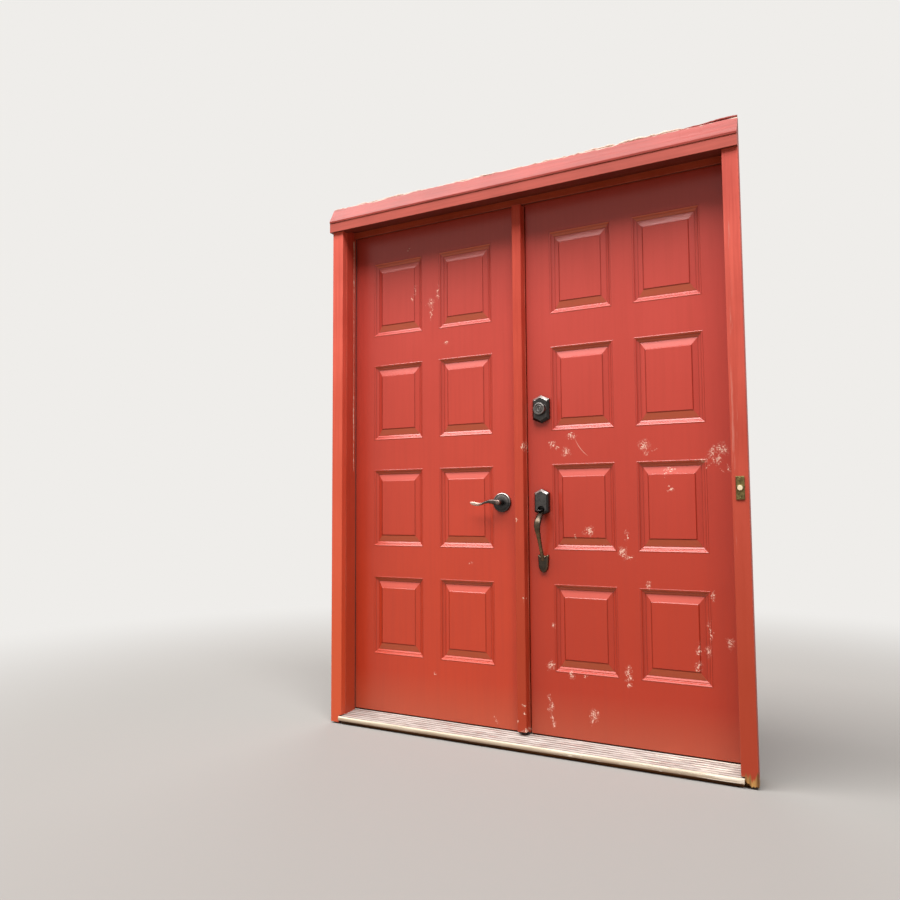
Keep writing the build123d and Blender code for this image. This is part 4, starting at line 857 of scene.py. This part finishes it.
def add_jamb_peel(chalk):
    """A ragged ridge of old paint on the left jamb beside the leaf: a thin bead of changing width."""
    random = np.random.default_rng(11)
    count = 420
    ridge_low, ridge_high, ridge_y = 1036, 2040, -22
    z = np.linspace(ridge_low, ridge_high, count)
    wide = np.clip(1.2 + rough_line(random, count, (4, 15, 60), (1.5, 1.6, 1.2)), 0.2, 5.0)
    path = places_at(0.2 - jamb_face, ridge_y + rough_line(random, count, (30,), (1.2,)), z)
    make_piece("old_paint_ridge", rod(path, wide, 0.8, 2.0, 8), "frame", chalk)


def add_splinters(wood):
    """Broken fibres at the right casing's rotten foot: four-sided needles in random places and lengths."""
    random = np.random.default_rng(5)
    count = 26
    top = np.column_stack([
        random.uniform(casing_low.x + 16, casing_high.x - 3, count),
        random.uniform(casing_low.y + 1.5, casing_low.y + 22, count),
        random.uniform(24, 40, count),
    ])
    tip = top + np.column_stack([
        random.uniform(-3, 3, count),
        random.uniform(-1.5, 1.5, count),
        -random.uniform(10, 30, count),
    ])
    tip[:, 2] = np.maximum(tip[:, 2], 2.0)
    wide = random.uniform(1.2, 3.0, count)[:, None]
    corner = np.array([(1, 1), (-1, 1), (-1, -1), (1, -1)]) * 0.5
    base = np.repeat(top[:, None], 4, axis=1)
    base[..., 0] += wide * corner[:, 0]
    base[..., 1] += wide * 0.7 * corner[:, 1]
    faces = [(0, 1, 2, 3), (4, 1, 0), (4, 2, 1), (4, 3, 2), (4, 0, 3)]
    needles = copies(np.concatenate([base, tip[:, None]], axis=1), faces)
    make_piece("rotten_foot_splinters", needles, "frame", wood, smooth=False)


def cross_head(radius):
    """A domed screw head with a cross recess: rings whose radius, in the recess, is long in four
    directions."""
    angle = angles(24)
    cross = radius * (0.14 + 0.42 * np.abs(np.cos(2 * angle)) ** 6)
    even = np.full(len(angle), radius)
    radii = np.stack([even, even, even * 0.72, cross, cross * 0.7])
    heights = np.array([-0.8, 0.315, 0.9, 0.882, -0.2])[:, None]
    return places_at(radii * np.cos(angle), radii * np.sin(angle), heights)


def add_screws(name, places, facing, radius, body, metal):
    """Screw heads at several places, all facing one way: one head's points turned and moved to each."""
    facing = np.asarray(facing, float)
    along = np.array([0, 0, 1.0])
    head, faces = capped_tube(cross_head(radius))
    head = head @ np.stack([np.cross(along, facing), along, facing])
    heads = copies(np.asarray(places, float)[:, None] + head, faces)
    make_piece(name, heads, body, metal, smooth=False)


def add_all_screws(finishes):
    """Hinge, strike, faceplate, flush plate, rose and doorbell screws, in the places that such parts have.

    The middles of the highest and lowest hinges are 178 and 254 mm from the leaf's ends, and those of the
    flush plates, 150 mm long, are 145 mm from them."""
    highest = skin_high.z - 178
    lowest = skin_low.z + 254
    hinges = [highest, (highest + lowest) / 2, lowest]
    spots = [(19, -38), (34, -14), (34, 14), (19, 38)]
    for side, leaf in ((1, "right"), (-1, "left")):
        sides = [("leaf", skin_high.x, side, leaf + "_leaf"), ("frame", skin_high.x + 3, -side, "frame")]
        for part, x, facing, body in sides:
            places = [(side * x, leaf_thickness - y, z + dz) for z in hinges for y, dz in spots]
            add_screws(leaf + "_hinge_" + part + "_screws", places, (facing, 0, 0), 4.2, body,
                       finishes["hinge"])
    middle = leaf_thickness / 2
    beside_bolts = [z + step for z in (deadbolt_z, latch_z) for step in (-20.5, 20.5)]
    flush = [skin_low.z + 78, skin_low.z + 212, skin_high.z - 212, skin_high.z - 78]
    add_screws("strike_and_flush_plate_screws", [(post_right, middle, z) for z in beside_bolts + flush],
               (1, 0, 0), 3.4, "left_leaf", finishes["zinc"])
    add_screws("faceplate_screws", [(skin_low.x + 0.6, middle, z) for z in beside_bolts], (-1, 0, 0), 3.4,
               "right_leaf", finishes["zinc"])
    bell_x = (bell_low.x + bell_high.x) / 2
    on_bell = [(bell_x, bell_low.y + BELL_DEPTH, z) for z in (bell_low.z + 6.5, bell_high.z - 6.5)]
    add_screws("doorbell_screws", on_bell, (0, -1, 0), 2.6, "frame", finishes["bell"])
    for side, leaf in ((1, "right"), (-1, "left")):
        back = corners_of(leaf + "_inside_rose")[1].y
        places = [(side * lock_x + step, back - 2.6, latch_z) for step in (-27, 27)]
        add_screws(leaf + "_inside_rose_screws", places, (0, 1, 0), 3.0, leaf + "_leaf",
                   finishes["bronze"])


# The camera stands where the photographer stood, to the right of the doors at chest height
CAMERA_PLACE = (1197.2 * MM, -2737.8 * MM, 886.3 * MM)
CAMERA_RIGHT = (0.87529, 0.48356, -0.00598)
CAMERA_UP = (0.03992, -0.05991, 0.99741)
CAMERA_FORWARD = (-0.48195, 0.87326, 0.07174)
CAMERA_LENS = 31.204


def set_camera():
    """The camera at the photographer's place and angle."""
    data = bpy.data.cameras.new("photo_camera")
    data.lens = CAMERA_LENS
    data.sensor_width = 36.0
    camera = bpy.data.objects.new("photo_camera", data)
    turn = Matrix((CAMERA_RIGHT, CAMERA_UP, [-part for part in CAMERA_FORWARD])).transposed()
    camera.matrix_world = Matrix.Translation(CAMERA_PLACE) @ turn.to_4x4()
    bpy.context.scene.collection.objects.link(camera)
    bpy.context.scene.camera = camera


def set_stage():
    """A pale floor that fades into the pale backdrop, and dim even light from all round.

    The fade is a ramp of the distance from the doors, because a lit floor would turn grey far away."""
    half = 20.0
    pale = linear("#efedea")
    mesh = bpy.data.meshes.new("floor")
    corners = [(-half, -half, 0), (half, -half, 0), (half, half, 0), (-half, half, 0)]
    mesh.from_pydata(corners, [], [(0, 1, 2, 3)])
    material, tree, point = start_material("matt_pale_floor_paint")
    shader = tree.nodes["shader"]
    shown = ray_is(tree, "Is Camera Ray", "Is Glossy Ray")
    tone = blend(tree, shown, "#86735a", "#8f8b87")
    feed(tree, shader, {"Base Color": tone, "Roughness": 0.9})
    distance = vectors(tree, "LENGTH", point, out=1)
    far = ramp(tree, distance, 1.6, 4.5, interpolation_type="SMOOTHSTEP")
    far = maths(tree, "MULTIPLY", far, shown)
    haze = add(tree, "ShaderNodeEmission", {"Color": pale, "Strength": 1.0})
    mixed = add(tree, "ShaderNodeMixShader", {0: far, 1: shader.outputs[0], 2: haze})
    feed(tree, tree.get_output_node("ALL"), {"Surface": mixed})
    mesh.materials.append(material)
    floor = bpy.data.objects.new("floor", mesh)
    floor.location.z = -0.0006
    bpy.context.scene.collection.objects.link(floor)
    world = bpy.data.worlds.new("studio")
    bpy.context.scene.world = world
    world.use_nodes = True
    tree = world.node_tree
    tree.nodes.clear()
    shown = add(tree, "ShaderNodeBackground", {"Color": pale, "Strength": 1.0})
    soft = add(tree, "ShaderNodeBackground", {"Color": linear("#f2f4f8"), "Strength": 0.05})
    seen = ray_is(tree, "Is Camera Ray", "Is Transmission Ray", "Is Glossy Ray")
    mixed = add(tree, "ShaderNodeMixShader", {0: seen, 1: soft, 2: shown})
    feed(tree, tree.nodes.new("ShaderNodeOutputWorld"), {"Surface": mixed})


def set_lights():
    """A broad soft panel high in front, like open sky above the doorway, and a weaker one behind."""
    for name, place, aim, width, height, power in (
        ("sky_panel", (-1.0, -6.8, 15.8), (0.0, 0.0, 1.2), 30.0, 7.0, 8600.0),
        ("back_panel", (-1.5, 3.6, 3.4), (0.0, 0.0, 1.1), 3.0, 3.0, 90.0),
    ):
        data = bpy.data.lights.new(name, "AREA")
        data.energy = power
        data.shape = "RECTANGLE"
        data.size = width
        data.size_y = height
        lamp = bpy.data.objects.new(name, data)
        forward = np.subtract(aim, place)
        forward = forward / np.linalg.norm(forward)
        right = np.cross(forward, (0, 0, 1))
        right /= np.linalg.norm(right)
        up = np.cross(right, forward)
        turn = Matrix((right, up, -forward)).transposed()
        lamp.matrix_world = Matrix.Translation(place) @ turn.to_4x4()
        bpy.context.scene.collection.objects.link(lamp)


# Chips in the paint of the leaves and of the astragal's post, and one arc scratch, in millimetres:
# (x, z, half width, half height, lean) and (x, z, radius, x from, x to)
RIGHT_FLAKES = [
    (201, 1143, 26, 12, 10), (123, 1118, 15, 20, 15), (180, 1086, 20, 22, -10), (140, 1100, 8, 8, 0),
    (258, 794, 26, 20, 0), (209, 773, 9, 7, 0), (119, 444, 11, 11, 0), (107, 300, 18, 26, 10),
    (186, 269, 14, 14, 0), (238, 272, 7, 9, 0), (396, 294, 15, 38, 0), (400, 256, 8, 10, 0),
    (268, 140, 22, 26, 10), (262, 116, 12, 12, 0), (99, 178, 10, 20, -20), (105, 148, 13, 24, 10),
    (107, 115, 9, 22, -6), (115, 88, 12, 20, 12), (639, 402, 12, 30, 0), (670, 392, 12, 26, 0),
    (637, 343, 13, 24, 14), (742, 428, 16, 24, 0), (690, 576, 7, 30, 8), (677, 458, 6, 60, -4),
    (473, 604, 9, 22, 12), (470, 1096, 26, 24, 0), (476, 1066, 12, 10, 0), (402, 778, 7, 22, 0),
    (385, 718, 20, 26, -15), (405, 700, 26, 10, 0), (700, 1066, 14, 30, 28), (733, 1073, 26, 24, 20),
    (665, 1036, 26, 8, 0), (752, 1004, 8, 16, -30), (717, 1040, 22, 14, 0), (556, 940, 16, 7, 0),
    (540, 998, 6, 18, 0), (560, 1010, 22, 8, 0), (703, 1036, 4, 20, 23), (721, 1054, 3, 16, 78),
    (718, 1028, 3, 13, 32), (733, 996, 4, 13, -26), (683, 1017, 3, 11, 90), (504, 1079, 4, 16, 82),
    (199, 1149, 4, 17, 89), (212, 1144, 3, 12, -11), (183, 1089, 4, 21, -25),
]
RIGHT_ARC = (355.5, 1187.6, 152.6, 209, 264)
LEFT_FLAKES = [
    (-120, 74, 4, 22, -28), (-400, 1721, 22, 24, 0), (-366, 1763, 5, 40, 4), (-398, 1678, 9, 30, 6),
    (-480, 1788, 4, 26, 8), (-492, 1758, 7, 16, 0), (-507, 1962, 9, 9, 0), (-389, 225, 7, 7, 0),
    (-224, 665, 6, 8, 0), (-330, 1548, 14, 6, 0),
]
POST_FLAKES = [
    (17, 1109, 5, 27, 0), (10, 149, 6, 7, 0), (10, 124, 6, 7, 0), (-15, 91, 5, 6, 0), (15, 58, 24, 10, -12),
    (14, 540, 4, 18, 6), (-12, 830, 5, 9, 0),
]


def dress_frame():
    """Materials of the CAD nodes that show as they are, and those of the pieces made here."""
    jamb_back = (0, corners_of("right_jamb")[1].x)
    head_back = (2, corners_of("head_jamb")[1].z)
    for nodes, along, light, dark, settings in (
        (["left_casing"], "Z", "#dd6150", "#c54f3f", {"low": "#cc5432"}),
        # The right casing is darker than the left, most of all low down: painted shade, as less light
        # reaches the right side
        (["right_casing"], "Z", "#d45c4d", "#b9483b", {"low": "#a33a22", "wear": 0.10, "rot": True}),
        (["left_jamb"], "Z", "#c34a3a", "#ab3b2d", {"low": "#b04428", "hidden": jamb_back}),
        (["right_jamb"], "Z", "#c34a3a", "#ab3b2d", {"low": "#b04428", "hidden": jamb_back, "rot": True}),
        (["head_casing"], "X", "#bc574a", "#a4493d", {}),
        (["head_jamb", "head_stop"], "X", "#b04a33", "#96381f", {"hidden": head_back}),
        (["astragal"], "Z", "#cb4f3c", "#b8402f", {"low": "#a53a20", "flakes": POST_FLAKES}),
    ):
        dress(brushed_paint_on_pine("brushed_paint_" + nodes[0], along, light, dark, **settings), *nodes)
    # The right leaf's low tone is darker than the left's: painted shade towards the lower right
    dress(rolled_enamel_on_steel("rolled_enamel_right_leaf", RIGHT_FLAKES, "#b03620", RIGHT_ARC),
          "right_outer_skin")
    dress(rolled_enamel_on_steel("rolled_enamel_left_leaf", LEFT_FLAKES, "#bd3e24"), "left_outer_skin")
    dress(rolled_enamel_on_steel("rolled_enamel_inside", [], "#b83a24"), "right_inner_skin",
          "left_inner_skin")
    dress(sawn_pine_with_lapped_paint("sawn_pine_with_lapped_paint"), "left_leaf_stiles",
          "right_leaf_stiles", "left_leaf_rails", "right_leaf_rails", "lock_block")
    dress(worn_painted_aluminium("worn_painted_aluminium_sill"), "sill_tread")
    dress(weathered_timber("weathered_sill_timber", "#8a5a2e", "#4a2c16"), "sill_base")
    dress(moulded_plastic("dusty_tan_vinyl", "#a5968a", "#7d6f66", 0.6, 60.0), "sill_cap")
    dress(moulded_plastic("dull_black_vinyl_seal", "#2e2724", "#171312", 0.6, 90.0),
          "side_weatherstrips", "head_weatherstrip", "left_door_sweep", "right_door_sweep",
          "astragal_seal", "astragal_foot_pad")
    dress(moulded_plastic("rigid_cream_foam", "#d9c99c", "#c2b184", 0.9, 200.0),
          "left_foam_core", "right_foam_core")
    dress(moulded_plastic("aged_ivory_plastic", "#efe3c8", "#d9c9a6", 0.28, 60.0), "doorbell_button")
    finishes = {
        "hinge": plain_metal("dull_brass_plated_steel_hinges", "#a8905c", "#7d6840", 0.38, 60.0),
        "zinc": plain_metal("zinc_plated_steel", "#aeaaa2", "#8a867e", 0.35, 90.0),
        "bell": plain_metal("tarnished_brass_doorbell", "#7d6f45", "#55492c", 0.42, 110.0),
        "plug": plain_metal("worn_nickel_plug", "#7d7976", "#524d4a", 0.35, 120.0),
        "bronze": oil_rubbed_bronze("oil_rubbed_bronze", "#b8b0ab"),
        "handled_and_reflecting": oil_rubbed_bronze("oil_rubbed_bronze_worn_by_hands_and_painted_reflection", "#a88a62"),
        "lever": oil_rubbed_bronze("oil_rubbed_bronze_worn_pink_and_painted_highlight", "#c9a99b"),
        "chalk": moulded_plastic("old_chalky_paint_and_caulk", "#e6d2c2", "#bf8f80", 0.8, 90.0),
        # Very dark wood under the lifted sliver: split wood made dark as painted shade of the gap
        "dark_wood": weathered_timber("split_dark_wood_and_painted_shade", "#5a3d2a", "#2b1b12"),
        "golden_wood": weathered_timber("rotten_golden_wood", "#c39355", "#7a5228"),
        "cap": brushed_paint_on_pine("brushed_paint_drip_cap", "X", "#a33b31", "#8a2f24", wear=0.02,
                                     hidden=(1, drip_high.y)),
    }
    dress(finishes["hinge"], "left_hinge_frame_plates", "right_hinge_frame_plates",
          "left_hinge_leaf_plates", "right_hinge_leaf_plates", "hinge_pins")
    dress(finishes["zinc"], "deadbolt_case", "latch_case", "deadbolt", "latch_bolt", "deadbolt_strike",
          "latch_strike", "flush_bolt_plates", "head_bolt", "foot_bolt")
    dress(finishes["bell"], "doorbell_plate")
    dress(finishes["bronze"], "thumb_piece", "thumb_turn_rose", "thumb_turn")
    return finishes


set_camera()
set_stage()
set_lights()
finishes = dress_frame()
add_drip_cap(finishes["cap"], finishes["chalk"], finishes["dark_wood"])
add_jamb_peel(finishes["chalk"])
add_splinters(finishes["golden_wood"])
add_deadbolt_rose(finishes["bronze"], finishes["plug"])
add_escutcheon(finishes["bronze"])
add_grip(finishes["handled_and_reflecting"])
handles = [("left_outside", -lock_x), ("left_inside", -lock_x), ("right_inside", lock_x)]
for (place, x), body in zip(handles, ("left_leaf", "left_leaf", "inside_lever")):
    add_lever(place + "_waved_lever", place + "_lever", x, body, finishes["lever"])
for (place, x), body in zip(handles, ("left_leaf", "left_leaf", "right_leaf")):
    add_rose(place + "_rimmed_rose", place + "_rose", x, body, finishes["bronze"])
add_all_screws(finishes)

bpy.context.scene.view_settings.view_transform = "Standard"
